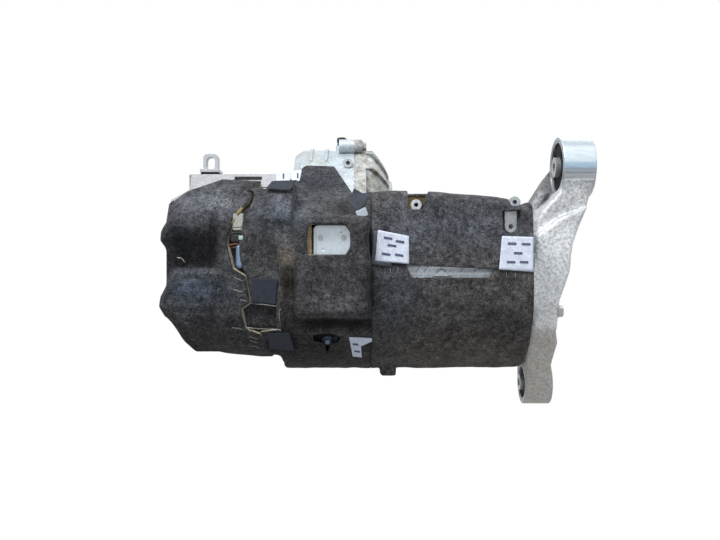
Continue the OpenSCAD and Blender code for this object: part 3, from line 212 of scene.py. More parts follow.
def felt_material(name, base):
    """Needled felt: heathered fibres, lint, rubbed streaks, tan foam where it is cut, and marks of lighter and
    darker felt that are partly its own colour variation and partly painted light and shade.
    """
    m = Nodes(name, base, 0.96, gloss=0.08, sheen=0.05)
    fine = m.noise(430, 3, 0.8, seed=1.0)
    heather = m.noise(150, 4, 0.75, seed=2.0)
    mottle = m.noise(38, 4, 0.62, seed=6.0)
    color = m.shaded(base, m.spread(fine, 0.34, 0.67, 0.28, 1.85), m.spread(heather, 0.33, 0.67, 0.42, 1.6),
                     m.spread(mottle, 0.32, 0.68, 0.64, 1.36), m.vary(m.noise(9, 4, 0.6, seed=3.1), 0.78, 1.22),
                     m.math("ADD", m.attribute("tone"), 1.0))
    tint = m.attribute("tint")
    color = m.mix(m.spread(tint, 0, 1), color, m.shaded(color, BLUISH))
    color = m.mix(m.spread(tint, 0, -1), color, m.shaded(color, BROWNISH))
    lint = m.spread(m.noise(1000, 2, 0.8, seed=12.0), 0.64, 0.74)
    color = m.mix(m.times(lint, 0.5), color, LINT)
    streak = m.noise(120, 4, 0.7, (1, 1, 0.16), 5.0, (0, 0.7, 0))
    across = m.noise(160, 4, 0.7, (0.2, 1, 1), 9.0, (0, 0.25, 0))
    rubbed = m.math("MAXIMUM", m.spread(streak, 0.55, 0.70), m.spread(across, 0.58, 0.72))
    color = m.mix(m.times(rubbed, m.attribute("scuff")), color, RUBBED)
    foam = m.shaded(FOAM, m.vary(m.noise(420, 3, 0.7), 0.55, 1.25))
    color = m.mix(m.spread(m.attribute("foam"), 0.35, 0.65), color, foam)
    normal = m.bump(fine, 0.0012, 0.55)
    normal = m.bump(heather, 0.0022, 0.5, normal)
    return m.out(color, None, m.bump(mottle, 0.0045, 0.3, normal))


def cast_material(name, base, stain, grain=1.0, rough=0.5, metal=0.4, stained=0.5, patch=24, least=0.52):
    """Sand-cast or die-cast light metal with a blotchy skin, stains and speckle."""
    m = Nodes(name, base, rough, metal)
    speckle = m.noise(330, 3, 0.7, seed=2.5)
    color = m.shaded(base, m.spread(m.noise(13, 5, 0.65, seed=4.0), 0.32, 0.66, 0.74, 1.1),
                     m.vary(speckle, 1 - 0.34 * grain, 1 + 0.24 * grain),
                     m.vary(m.noise(60, 4, 0.7, seed=7.0), 1 - 0.16 * grain, 1 + 0.12 * grain))
    blots = m.spread(m.noise(patch, 5, 0.68, seed=9.0), least, least + 0.2)
    color = m.mix(m.times(blots, stained), color, stain)
    normal = m.bump(m.noise(900, 2, 0.6), 0.0005, 0.5 * grain, m.soft_edge(0.0012))
    normal = m.bump(m.noise(240, 3, 0.6, seed=3.0), 0.0007, 0.55 * grain, normal)
    return m.out(color, m.vary(speckle, rough - 0.08, rough + 0.12), normal)


# The cast colour, and the tan of the lower part's wear darkened further as painted shade
BRACKET, BRACKET_WORN_SHADED = (0.66, 0.68, 0.70), (0.41, 0.385, 0.345)
# Painted reflection bands on the turned upper eye, by height: bright bands, a bluish reflected band and dark
# shadow lines under the ledge
PAINTED_SHINE_BANDS = ((0.0, (0.38, 0.41, 0.44)), (0.16, (0.44, 0.47, 0.50)), (0.19, (0.25, 0.28, 0.31)),
                (0.23, (0.40, 0.45, 0.49)), (0.26, (0.26, 0.31, 0.36)), (0.29, (0.34, 0.47, 0.58)),
                (0.38, (0.42, 0.59, 0.71)), (0.44, (0.67, 0.77, 0.84)), (0.70, (0.67, 0.75, 0.80)),
                (0.80, (0.42, 0.49, 0.54)), (1.0, (0.24, 0.28, 0.32)))


def bracket_material():
    """The mount bracket: speckled casting, turned eyes with painted reflection bands, tan wear lower down
    darkened further as painted shade, and painted shade kept on its points.
    """
    m = Nodes("bracket_casting", (0.5, 0.52, 0.54), 0.5, 0.35)
    speckle = m.noise(260, 3, 0.75, seed=2.5)
    color = m.shaded(BRACKET, m.spread(m.noise(16, 5, 0.65, seed=4.0), 0.32, 0.66, 0.78, 1.1),
                     m.spread(speckle, 0.33, 0.61, 0.52, 1.2), m.math("ADD", m.attribute("tone"), 1.0))
    # Tan wear low down, its colour darkened further as painted shade
    worn_and_shaded = m.times(m.attribute("tan"), m.spread(m.noise(34, 5, 0.7, seed=9.0), 0.3, 0.62, 0.25, 1.0))
    color = m.mix(worn_and_shaded, color, m.shaded(BRACKET_WORN_SHADED, m.vary(speckle, 0.65, 1.25)))
    # Painted reflection and shadow bands on the turned faces, by height
    turned = m.ramp(m.attribute("band"), *PAINTED_SHINE_BANDS)
    turned = m.shaded(turned, m.vary(m.noise(420, 3, 0.6, (0.12, 1, 1), 1.4), 0.88, 1.08))
    machined = m.attribute("machined")
    color = m.mix(machined, color, turned)
    rough = m.math("SUBTRACT", m.vary(speckle, 0.42, 0.62), m.times(machined, 0.2))
    flat = m.math("SUBTRACT", 1.0, machined)
    normal = m.bump(m.times(m.noise(800, 2, 0.6), flat), 0.0006, 0.6)
    normal = m.bump(m.times(m.noise(230, 3, 0.6, seed=3.0), flat), 0.0010, 0.6, normal)
    return m.out(color, rough, normal)


def machined_material(name, base, stretch, rough=0.3, metal=0.6):
    """Ground or turned metal with fine lines across the stretch."""
    m = Nodes(name, base, rough, metal)
    lines = m.noise(300, 3, 0.6, stretch, 1.4)
    color = m.shaded(base, m.vary(lines, 0.78, 1.12), m.vary(m.noise(40, 4), 0.85, 1.1))
    normal = m.bump(lines, 0.0002, 0.35, m.soft_edge(0.0005))
    return m.out(color, m.vary(m.noise(18, 4), rough - 0.07, rough + 0.12), normal)


def plastic_material(name, base, rough=0.55, fine=1200, gloss=0.35):
    """Moulded plastic or rubber, slightly dusty."""
    m = Nodes(name, base, rough, gloss=gloss)
    color = m.shaded(base, m.vary(m.noise(28, 4), 0.72, 1.2), m.vary(m.noise(400, 3, 0.7), 0.8, 1.2))
    normal = m.bump(m.noise(fine, 2), 0.0003, 0.4, m.soft_edge(0.0007))
    return m.out(color, m.vary(m.noise(55, 3), rough - 0.1, rough + 0.1), normal)


def fabric_material(name, base, dirt):
    """Woven tape: fine warp and weft, a little grey where it was handled."""
    m = Nodes(name, base, 0.88, gloss=0.15, sheen=0.1)
    warp = m.noise(760, 2, 0.5, (1, 1, 0.2), 1.0)
    weft = m.noise(760, 2, 0.5, (0.2, 1, 1), 2.0)
    color = m.shaded(base, m.vary(warp, 0.86, 1.1), m.vary(weft, 0.86, 1.1))
    color = m.mix(m.times(m.spread(m.noise(70, 4, 0.7, seed=3.0), 0.5, 0.75), 0.4), color, dirt)
    normal = m.bump(m.math("ADD", warp, weft), 0.0004, 0.6)
    return m.out(color, None, m.bump(m.noise(90, 2), 0.001, 0.3, normal))


def foam_material(name, base):
    """Open foam with pores."""
    m = Nodes(name, base, 0.95, gloss=0.1)
    pores = m.noise(500, 3, 0.7, seed=2.0)
    color = m.shaded(base, m.vary(pores, 0.55, 1.25), m.vary(m.noise(60, 3), 0.8, 1.15))
    return m.out(color, None, m.bump(pores, 0.001, 0.8))


felt_left = felt_material("felt_left", (0.047, 0.047, 0.050))
felt_mid = felt_material("felt_mid", (0.054, 0.054, 0.056))
felt_motor = felt_material("felt_motor", (0.066, 0.064, 0.066))
gold_foam = foam_material("gold_foam", (0.30, 0.25, 0.12))
olive_foam = foam_material("olive_foam", (0.15, 0.12, 0.05))
tan_foam = foam_material("tan_foam", (0.44, 0.33, 0.17))
white_cloth = fabric_material("white_cloth", (0.66, 0.72, 0.84), (0.42, 0.44, 0.48))
grey_cloth = fabric_material("grey_cloth", (0.105, 0.115, 0.14), (0.07, 0.075, 0.09))
slate_cloth = fabric_material("slate_cloth", (0.034, 0.039, 0.052), (0.06, 0.065, 0.08))
stitch = fabric_material("stitch_thread", (0.105, 0.115, 0.21), (0.1, 0.12, 0.18))
pale_thread = fabric_material("pale_thread", (0.50, 0.49, 0.46), (0.36, 0.34, 0.31))
cast_dirty = cast_material("cast_soiled", (0.46, 0.48, 0.475), (0.17, 0.145, 0.10), 1.7, 0.55, 0.3, 0.9,
                           52, 0.47)
# A brighter copy of the cast metal for the motor housing: painted light on its boss and hang tab, which sit in
# shaded recesses
cast_painted_bright = cast_material("cast_painted_bright", (0.74, 0.79, 0.84), (0.54, 0.54, 0.53), 0.7, 0.45, 0.35, 0.3)
# A darker copy of the cast metal for the inverter housing: painted shade that holds down the strong light on
# its top
cast_block_painted_shade = cast_material("cast_block_painted_shade", (0.33, 0.335, 0.355), (0.25, 0.235, 0.21), 1.0, 0.55, 0.2, 0.6)
# Brighter copies of the cast metal for the ribbed casting under the flap and the terminal lid in the window:
# painted light in these shaded recesses
relief_painted_bright = cast_material("cast_relief", (0.76, 0.83, 0.90), (0.42, 0.43, 0.43), 0.9, 0.5, 0.35, 0.4)
plate_painted_bright = cast_material("plate_painted_bright", (0.74, 0.83, 0.90), (0.62, 0.66, 0.68), 0.35, 0.4, 0.4, 0.4)
bracket_cast = bracket_material()
black = plastic_material("black_plastic", (0.020, 0.020, 0.022))
grey = plastic_material("grey_plastic", (0.40, 0.395, 0.36))
pale_plastic = plastic_material("pale_plastic", (0.42, 0.58, 0.60))
wire = plastic_material("wire_sheath", (0.17, 0.085, 0.05))
rubber = plastic_material("rubber", (0.014, 0.014, 0.015), 0.75, 700, 0.2)

BY_SLOT = {
    "cast_aluminium": cast_material("cast_aluminium", (0.50, 0.56, 0.60), (0.40, 0.36, 0.28), 1.0, 0.5, 0.35,
                                    0.6),
    "pressed_aluminium": cast_material("pressed_aluminium", (0.50, 0.53, 0.56), (0.50, 0.50, 0.48), 0.45, 0.42,
                                       0.4, 0.3),
    "steel": machined_material("steel", (0.40, 0.41, 0.42), (1, 1, 6), 0.36),
    "gear_steel": machined_material("gear_steel", (0.36, 0.37, 0.39), (4, 1, 1), 0.3),
    "laminations": machined_material("laminations", (0.20, 0.21, 0.22), (9, 1, 1), 0.45),
    "magnet": machined_material("magnet", (0.32, 0.32, 0.34), (1, 4, 1), 0.4),
    "copper": machined_material("copper", (0.60, 0.29, 0.13), (1, 5, 5), 0.4),
    "cast_iron": cast_material("cast_iron", (0.14, 0.14, 0.145), (0.12, 0.10, 0.08), 0.8, 0.55),
    "orange_plastic": plastic_material("orange_plastic", (0.72, 0.20, 0.02)),
    "board": plastic_material("circuit_board", (0.03, 0.14, 0.07), 0.4),
    "black_plastic": black, "rubber": rubber, "felt": felt_mid, "white_fabric": white_cloth,
    "dark_fabric": slate_cloth}
BY_NODE = {
    "coolant_pipe": machined_material("pipe", (0.22, 0.31, 0.46), (1, 1, 8), 0.32, 0.3),
    "speed_sensor": machined_material("blued_screw", (0.10, 0.14, 0.20), (1, 1, 4), 0.4, 0.4),
    "terminal_lid": plate_painted_bright, "gear_housing": cast_dirty, "motor_housing": cast_painted_bright,
    "inverter_housing": cast_block_painted_shade}
slot_of = {s["node"]: s["material_slot"] for s in frame["record"]["subparts"]}
for name, obj in nodes.items():
    obj.data.materials.clear()
    obj.data.materials.append(BY_NODE.get(name, BY_SLOT[slot_of[name]]))

# ---------------------------------------------------------------- distance fields


def smin(a, b, k):
    """The lesser of two distances, rounded over k: a soft union."""
    h = np.clip(0.5 + 0.5 * (b - a) / k, 0, 1)
    return b + (a - b) * h - k * h * (1 - h)


def smax(a, b, k):
    """The greater of two distances, rounded over k: a soft cut."""
    return -smin(-a, -b, k)


def polygon(u, v, points):
    """Signed distance to a closed outline, negative inside."""
    p = np.asarray(points, float)
    best = np.full(np.broadcast(u, v).shape, 1e12)
    inside = np.zeros(best.shape, bool)
    for a, b in zip(p, np.roll(p, -1, axis=0)):
        e = b - a
        wu, wv = u - a[0], v - a[1]
        t = np.clip((wu * e[0] + wv * e[1]) / (e @ e), 0, 1)
        best = np.minimum(best, (wu - t * e[0]) ** 2 + (wv - t * e[1]) ** 2)
        if a[1] != b[1]:
            crosses = (a[1] > v) != (b[1] > v)
            inside ^= crosses & (u < a[0] + (v - a[1]) / (b[1] - a[1]) * e[0])
    return np.where(inside, -1, 1) * np.sqrt(best)


def box(x, y, z, low, high, r=0.0):
    """Signed distance to a box with edges rounded by r."""
    c = (np.asarray(low, float) + high) / 2
    h = (np.asarray(high, float) - low) / 2 - r
    q = [np.abs(p - c[i]) - h[i] for i, p in enumerate((x, y, z))]
    outside = np.sqrt(sum(np.maximum(d, 0) ** 2 for d in q))
    return outside + np.minimum(np.maximum(np.maximum(q[0], q[1]), q[2]), 0) - r


def disc(y, z, pos, r):
    """Signed distance to a circle round pos, across any two axes."""
    return np.hypot(y - pos[0], z - pos[1]) - r


def between(v, low, high):
    """Negative from low to high."""
    return np.maximum(low - v, v - high)


def capsule(x, y, z, a, b, r):
    """Signed distance to a round bar from a to b."""
    a, b = np.asarray(a, float), np.asarray(b, float)
    e = b - a
    p = (x - a[0], y - a[1], z - a[2])
    t = np.clip((p[0] * e[0] + p[1] * e[1] + p[2] * e[2]) / (e @ e), 0, 1)
    return np.sqrt((p[0] - t * e[0]) ** 2 + (p[1] - t * e[1]) ** 2 + (p[2] - t * e[2]) ** 2) - r


def hull2(a, ra, b, rb, n=40):
    """Points round two circles and their common tangents."""
    a, b = np.asarray(a, float), np.asarray(b, float)
    axis = math.atan2(*(b - a)[::-1])
    lean = math.acos((ra - rb) / np.linalg.norm(b - a))
    arcs = ((a, ra, axis + lean, axis - lean + 2 * math.pi), (b, rb, axis - lean, axis + lean))
    return np.array([c + r * np.array([math.cos(t), math.sin(t)])
                     for c, r, first, last in arcs for t in np.linspace(first, last, n)])


WAVE_COUNT = 14
waves = np.random.default_rng(7)
WAVES = [(waves.normal(size=3), waves.uniform(0, 6.28)) for _ in range(WAVE_COUNT)]


def lumps(x, y, z, size):
    """Smooth unevenness of about one, with bumps about size across."""
    total = 0
    for k, phase in WAVES:
        total = total + np.sin((k[0] * x + k[1] * y + k[2] * z) * 2.2 / size + phase)
    return total / math.sqrt(WAVE_COUNT / 2) * 0.7


def table(points, soft):
    """A smooth curve through points of position and value, as a function."""
    p = np.array(sorted(points), float)
    fine, beyond, reach = 0.5, 60, 80
    s = np.arange(p[0, 0] - beyond, p[-1, 0] + beyond, fine)
    v = np.interp(s, p[:, 0], p[:, 1])
    k = np.exp(-0.5 * (np.arange(-reach, reach + 1) * fine / soft) ** 2)
    v = np.convolve(np.pad(v, reach, mode="edge"), k / k.sum(), mode="valid")
    return lambda q: np.interp(q, s, v)


def step(v, a, b):
    """A smooth step from 0 at a to 1 at b."""
    t = np.clip((v - a) / (b - a), 0, 1)
    return t * t * (3 - 2 * t)


def spots(u, v, *marks):
    """Sum of soft marks, each (u, v, half width, half height, amount) and, for a crisper edge, a power."""
    total = np.zeros(np.broadcast(u, v).shape)
    for mu, mv, w, h, amount, *crisp in marks:
        p = crisp[0] if crisp else 2
        total += amount * np.exp(-np.abs((u - mu) / w) ** p - np.abs((v - mv) / h) ** p)
    return total


def surface(field, low, high, size):
    """Points and quads on the zero level of a field, by surface nets."""
    ax = [np.arange(lo, hi + size, size) for lo, hi in zip(low, high)]
    x, y, z = ax[0][:, None, None], ax[1][None, :, None], ax[2][None, None, :]
    f = np.broadcast_to(field(x, y, z), tuple(len(a) for a in ax))
    n = np.array(f.shape) - 1
    corner = [(i, j, k) for i in (0, 1) for j in (0, 1) for k in (0, 1)]
    value = [f[i:n[0] + i, j:n[1] + j, k:n[2] + k] for i, j, k in corner]
    count = sum((v < 0).astype(np.int8) for v in value)
    mixed = (count > 0) & (count < 8)
    cell = np.argwhere(mixed)
    number = np.full(mixed.shape, -1)
    number[mixed] = np.arange(len(cell))
    value = [v[mixed] for v in value]
    spot, hits = np.zeros((len(cell), 3)), np.zeros(len(cell))
    for a in range(8):
        for bit in (1, 2, 4):
            b = a | bit
            if b == a:
                continue
            cross = (value[a] < 0) != (value[b] < 0)
            t = value[a][cross] / (value[a][cross] - value[b][cross])
            ca, cb = np.array(corner[a], float), np.array(corner[b], float)
            spot[cross] += ca + t[:, None] * (cb - ca)
            hits[cross] += 1
    points = np.array([a[0] for a in ax]) + size * (cell + spot / hits[:, None])
    quads = []
    sign = f < 0
    for axis in range(3):
        o1, o2 = (axis + 1) % 3, (axis + 2) % 3
        lo = [slice(None)] * 3
        hi = [slice(None)] * 3
        lo[axis], hi[axis] = slice(0, n[axis]), slice(1, n[axis] + 1)
        for o in (o1, o2):
            lo[o] = hi[o] = slice(1, n[o])
        a, b = sign[tuple(lo)], sign[tuple(hi)]
        e = np.argwhere(a != b)
        flip = a[a != b]
        e[:, o1] += 1
        e[:, o2] += 1

        def at(d1, d2):
            q = e.copy()
            q[:, o1] -= d1
            q[:, o2] -= d2
            return number[q[:, 0], q[:, 1], q[:, 2]]

        ring = np.stack([at(1, 1), at(0, 1), at(0, 0), at(1, 0)], 1)
        quads.append(np.where(flip[:, None], ring, ring[:, ::-1]))
    return points, np.concatenate(quads)


def without_crumbs(points, quads, least=60):
    """Leaves out loose bits of fewer than least points."""
    group = np.arange(len(points))
    while True:
        low = group[quads].min(1)
        new = group.copy()
        for c in range(quads.shape[1]):
            np.minimum.at(new, quads[:, c], low)
        new = new[new]
        if (new == group).all():
            break
        group = new
    size = np.bincount(group, minlength=len(points))
    keep = size[group] >= least
    index = np.cumsum(keep) - 1
    return points[keep], index[quads[keep[quads].all(1)]]


def link_piece(name, mesh, mat):
    """A smooth piece that moves with the casing."""
    mesh.polygons.foreach_set("use_smooth", np.full(len(mesh.polygons), True))
    mesh.materials.append(mat)
    obj = bpy.data.objects.new(name, mesh)
    bpy.context.scene.collection.objects.link(obj)
    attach(obj, "casing")
    return obj


def make_mesh(name, points, faces, mat):
    """A piece from points in millimetres and faces of any size, its faces turned outwards."""
    mesh = bpy.data.meshes.new(name)
    mesh.from_pydata(row(points).tolist(), [], [tuple(map(int, f)) for f in faces])
    bm = bmesh.new()
    bm.from_mesh(mesh)
    bmesh.ops.recalc_face_normals(bm, faces=bm.faces)
    bm.to_mesh(mesh)
    bm.free()
    return link_piece(name, mesh, mat)


def piece(name, field, low, high, size, mat, slot, **values):
    """A piece from a field; values are functions of x, y, z kept on its points for its material."""
    points, quads = without_crumbs(*surface(field, low, high, size))
    mesh = bpy.data.meshes.new(name)
    mesh.vertices.add(len(points))
    mesh.vertices.foreach_set("co", row(points).astype(np.float32).ravel())
    mesh.loops.add(quads.size)
    mesh.loops.foreach_set("vertex_index", quads.astype(np.int32).ravel())
    mesh.polygons.add(len(quads))
    mesh.polygons.foreach_set("loop_start", np.arange(0, quads.size, 4, dtype=np.int32))
    mesh.update(calc_edges=True)
    mesh.validate()
    obj = link_piece(name, mesh, mat)
    for key, value in values.items():
        kept = obj.data.attributes.new(key, "FLOAT", "POINT")
        kept.data.foreach_set("value", np.broadcast_to(value(*points.T), len(points)).astype(np.float32))
    return obj


# ---------------------------------------------------------------- the unit's main forms

MOTOR_R, FELT_IN_R, FELT_R = 118, 121.2, 130.9
DIFF, CASE_R, CASE_X = (147.932, 132.028), 104.0, (-102, 34)
# The inverter's outlines across y and z and across x and z
INVERTER_SIDE = [(-95, -57), (-60, -92), (80, -92), (80, 172), (-45, 172), (-95, 97)]
INVERTER_FRONT = [(-250, 190), (-101.5, 190), (-101.5, -93), (-235, -93), (-275, -44), (-275, 130), (-250, 146)]


def inverter(x, y, z, grown=0.0):
    return np.maximum(polygon(y, z, INVERTER_SIDE), polygon(x, z, INVERTER_FRONT)) - grown


def casing(x, y, z, grown=0.0):
    ring = polygon(y, z, hull2((0, 0), MOTOR_R, DIFF, CASE_R))
    return np.maximum(ring, between(x, *CASE_X)) - grown


def no_foam(u, v):
    return 0.0 * u


# Felt: mesh size, skin over the foam and its fade, lowest value of the darkening marks (partly painted shade),
# rounding and depth of a cut edge
FELT_CELL, SKIN, SKIN_FADE, DARKEST, CUT_EDGE, CUT_DEPTH = 1.8, 1.1, 2.5, -0.9, 1.2, 9


def felt_values(outer, tone=(), tint=(), scuff=(), shows=lambda u, v: 1.0):
    """What a felt cover keeps on its points: cut foam below the skin, and soft marks placed by pixel, some of
    which lighten and darken the felt partly as its own colour variation and partly as painted light and shade.
    """
    def cut(x, y, z):
        return np.clip((-outer(x, y, z) - SKIN) / SKIN_FADE, 0, 1) * shows(*project(x, y, z))

    return {"foam": cut,
            "tone": lambda x, y, z: np.maximum(spots(*project(x, y, z), *tone), DARKEST),
            "tint": lambda x, y, z: spots(*project(x, y, z), *tint),
            "scuff": lambda x, y, z: np.clip(spots(*project(x, y, z), *scuff), 0, 1)}


# Left cover
LEFT_OUTLINE = outline_at(
    -95, (222, 172), (216, 178), (191, 188), (178, 196), (174, 203), (172, 213), (168.5, 222), (162.5, 232),
    (161.5, 241), (167, 251), (170, 259), (171, 270), (169.5, 280), (162.5, 296), (161.5, 306), (166, 316),
    (174, 323), (180, 325), (187, 333), (189.5, 345), (193, 351), (201, 355), (223, 357.5), (257, 361),
    (288, 361), (330, 361), (330, 172))
LEFT_TOP = outline_at(
    -58, (120, 212), (160, 208), (174, 202), (191, 191), (216, 181.5), (222, 179), (262, 181), (330, 183),
    (330, 460), (120, 460))
LEFT_EDGE = outline_at(
    -104, (262, 160), (256, 183), (251, 190), (246, 202), (237, 211), (231, 221), (232, 227), (228, 237),
    (227, 244), (230, 256), (233, 269), (246, 277), (250, 302), (241, 308), (241, 309), (245, 328), (249, 331),
    (259, 335), (267, 351), (270, 390), (100, 390), (100, 160))
lobed = table([(165, -50), (140, -72), (125, -98), (108, -118), (88, -127), (70, -124), (52, -114), (36, -104),
               (26, -100), (20, -103), (8, -116), (-10, -123), (-30, -126), (-46, -122), (-66, -107),
               (-85, -84), (-104, -50)], 2.6)
flat = table([(170, -55), (150, -70), (128, -88), (106, -104), (90, -110), (60, -113), (20, -112), (-20, -113),
              (-50, -111), (-70, -103), (-88, -86), (-108, -50)], 6.0)


def left_outer(x, y, z):
    right = step(x, -209, -197)
    crease = 3.0 * np.exp(-((x + 203) / 4) ** 2) * step(z, 20, 40) * step(-z, -110, -80)
    front = lobed(z) * (1 - right) + flat(z) * right + crease
    front = front + 1.3 * lumps(x, 0, z, 42) + 0.6 * lumps(x, 0, z, 15)
    depth = (front - y) * 0.82
    rim = polygon(x, z, LEFT_OUTLINE) + 0.7 * lumps(x, y, z, 30)
    d = smax(depth, rim, 20)
    d = smin(d, inverter(x, y, z, 8.5 - 6.5 * step(-x, 252, 268)), 3)
    return smax(d, polygon(x, z, LEFT_TOP), 5)


def left_felt(x, y, z):
    outer = left_outer(x, y, z)
    hollow = np.minimum(inverter(x, y, z, 3.4 - 5.0 * step(-x, 252, 268)), outer + 14)
    d = np.maximum(outer, -hollow)
    d = smax(d, polygon(x, z, LEFT_EDGE) + 0.36 * np.clip(outer, -CUT_DEPTH, 0), CUT_EDGE)
    return np.maximum(d, y - 40)


# The lightening and darkening marks are partly the felt's own colour variation and partly painted light and
# shade: painted shade along the upright groove, and painted light along the fold between the two lobes, which
# lies in shade
left_values = felt_values(
    left_outer,
    tone=((193, 248, 23.5, 20, -0.54, 6), (206, 203, 36, 13, 0.85), (232, 205, 14, 10, 0.35),
          (201, 300, 4, 2.5, -0.7), (225, 340, 42, 14, -0.05), (216, 250, 4, 24, -0.2),
          (195, 271, 22, 3, 1.5, 4), (180, 302, 14, 6, -0.25)),
    tint=((196, 289, 36, 15, 0.95), (206, 204, 36, 16, 0.35), (176, 235, 12, 22, 0.4),
          (230, 340, 40, 14, -0.2)),
    scuff=((233, 205, 15, 11, 1.0), (200, 199, 22, 8, 0.6), (196, 273.5, 24, 2.6, 0.9), (228, 250, 8, 20, 0.4),
           (240, 292, 8, 16, 0.4)))
cover_left = piece("left_felt", left_felt, (-300, -142, -118), (-95, 44, 182), FELT_CELL, felt_left, "felt",
                   **left_values)
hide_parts("left_felt_cover")

# Middle cover
MID_TOP = [(-2.6, 145), (-33, 195.5), (-79, 197), (-85.6, 192), (-87.6, 163), (-101, 147.6), (-138, 149),
           (-158, 144.6)]
MID_EDGE = outline_at(
    -104, (252, 190), (252, 200), (247, 212), (243, 222), (241, 232), (239.5, 245), (240.5, 262), (247, 277),
    (252, 303), (277, 306), (277, 330), (260, 332), (267, 351), (270, 390)) + [(60, -170), (60, 145)] + MID_TOP
WINDOW = outline_at(-155, (309, 224), (345, 224), (350, 231), (352, 239), (350, 248), (346, 255), (308, 255),
                    (307, 240))
SLOT = outline_at(-95, (312, 335), (320, 333), (334, 333), (341, 337), (338, 342), (330, 343), (328, 352),
                  (326, 352), (325, 343), (314, 341))
BUMP = ((-83, -160, -43), (23, -60, 100))
WRAP_LINE = hull2((0, 0), FELT_R, DIFF, CASE_R + 10.4)


def mid_outer(x, y, z):
    ring = np.maximum(polygon(y, z, WRAP_LINE), -106 - x)
    shelf = np.maximum(inverter(x, y, z, 13.4), x + 92)
    d = smin(ring, shelf, 12)
    d = d + 4.0 * np.exp(-((x + 92) / 7) ** 2) * step(z, -30, -15) * step(-z, -36, -20)
    d = smin(d, box(x, y, z, *BUMP, 11), 4)
    return d + 1.2 * lumps(x, y, z, 46) + 0.5 * lumps(x, y, z, 14)


def mid_felt(x, y, z):
    outer = mid_outer(x, y, z)
    hollow = np.minimum(casing(x, y, z, 0.6), inverter(x, y, z, 3.4))
    hollow = np.minimum(hollow, box(x, y, z, (-73, -150, -33), (13, -40, 90), 6))
    hollow = np.minimum(hollow, np.minimum(np.maximum(disc(y, z, (0, 0), FELT_IN_R), CASE_X[0] - x),
                                           outer + 13))
    d = np.maximum(outer, -hollow)
    d = smax(d, polygon(x, z, MID_EDGE) + 0.12 * np.clip(outer, -CUT_DEPTH, 0), CUT_EDGE)
    d = smax(d, -np.maximum(polygon(x, z, WINDOW) - 0.1 * np.clip(outer, -CUT_DEPTH, 0), y + 100), CUT_EDGE)
    d = smax(d, -np.maximum(polygon(x, z, SLOT), y + 60), CUT_EDGE)
    d = np.maximum(d, x - 27.3)
    return np.maximum(d, np.where(z < 0, y - 40, y - 70))


# The lightening and darkening marks are partly the felt's own colour variation and partly painted light and
# shade: a painted shadow under the box bump, painted shade down its sides, in the fold to its left and over the
# low part below it, and a painted highlight along its left edge
mid_values = felt_values(
    mid_outer,
    tone=((320, 182, 28, 14, -0.30), (282, 212, 26, 18, 0.40), (270, 344, 40, 13, -0.50),
          (288, 284, 6, 17, -0.65), (286, 257, 7, 8, 0.35), (332, 324, 42, 5.5, -0.75, 4),
          (330, 352, 46, 12, -0.40), (331, 300, 32, 12, 0.2, 4), (294, 290, 2.5, 26, -0.5, 4),
          (301, 290, 4, 26, 0.25, 4), (300, 310, 8, 6, -0.3), (344, 207, 8, 6, -0.5), (370, 300, 3, 50, -0.4)),
    tint=((282, 212, 30, 20, 0.6), (320, 182, 26, 14, 0.5), (287, 284, 7, 18, -0.9), (286, 257, 8, 8, -1.2),
          (335, 345, 46, 14, -0.4)),
    scuff=((286, 256, 7, 8, 0.9), (300, 200, 30, 12, 0.45), (262, 225, 14, 16, 0.35), (340, 300, 24, 10, 0.25)),
    shows=lambda u, v: np.where((u > 314) & (v > 200), 0.0, 1.0))
cover_mid = piece("mid_felt", mid_felt, (-172, -166, -138), (30, 76, 202), FELT_CELL, felt_mid, "felt",
                  **mid_values)
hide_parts("mid_felt_cover")

# Motor cover: the round wrap and the flap over it
WRAP_X0, WRAP_X1 = 27.0, 261.7
OPENING = outline_at(-128, (405, 262), (496, 268), (490, 277.5), (412, 277.5))
FLAP_TOP = outline_at(-84, (368, 195), (374, 191.5), (389, 188.5), (440, 191.5), (485, 196.5), (506, 200),
                      (509, 206.5), (521, 207), (524, 203), (535, 206), (550, 206), (550, 430), (355, 430),
                      (355, 195))
FLAP_LOW = outline_at(-130, (355, 264), (407, 265), (445, 267), (498, 270.5), (550, 272), (550, 110),
                      (355, 110))
NOTCH = outline_at(-92, (407, 150), (427.5, 150), (428.5, 197), (421, 210.5), (407.5, 210.5))
TAB_HOLE = outline_at(-112, (502, 211.5), (520, 210.5), (521, 224), (518, 234), (510, 237), (502.5, 231))
FLAP_LINE = hull2((0, 0), FELT_R + 1.5, (-84, 111), 34)


def wrap_outer(x, y, z):
    d = np.hypot(y, z) - FELT_R + 2.0 * step(x, 250, 262) ** 2
    d = smin(d, box(x, y, z, (42, -44, -140), (66, -8, -118), 3), 4)
    return d + 0.9 * lumps(x, y, z, 60) + 0.4 * lumps(x, y, z, 16)


def wrap_felt(x, y, z):
    d = np.maximum(wrap_outer(x, y, z), FELT_IN_R - np.hypot(y, z))
    d = smax(d, between(x, WRAP_X0, WRAP_X1), 1.5)
    d = np.maximum(d, np.minimum(np.maximum(z - 33, y), np.maximum(z + 18, -y)))
    return smax(d, -np.maximum(polygon(x, z, OPENING), y + 60), CUT_EDGE)


def flap_outer(x, y, z):
    d = polygon(y, z, FLAP_LINE)
    d = smin(d, box(x, y, z, (80, -10, 100), (122, 26, 144), 6), 10)
    d = smax(d, polygon(x, z, FLAP_TOP), 14)
    return d + 0.9 * lumps(x, y, z, 52) + 0.45 * lumps(x, y, z, 15)


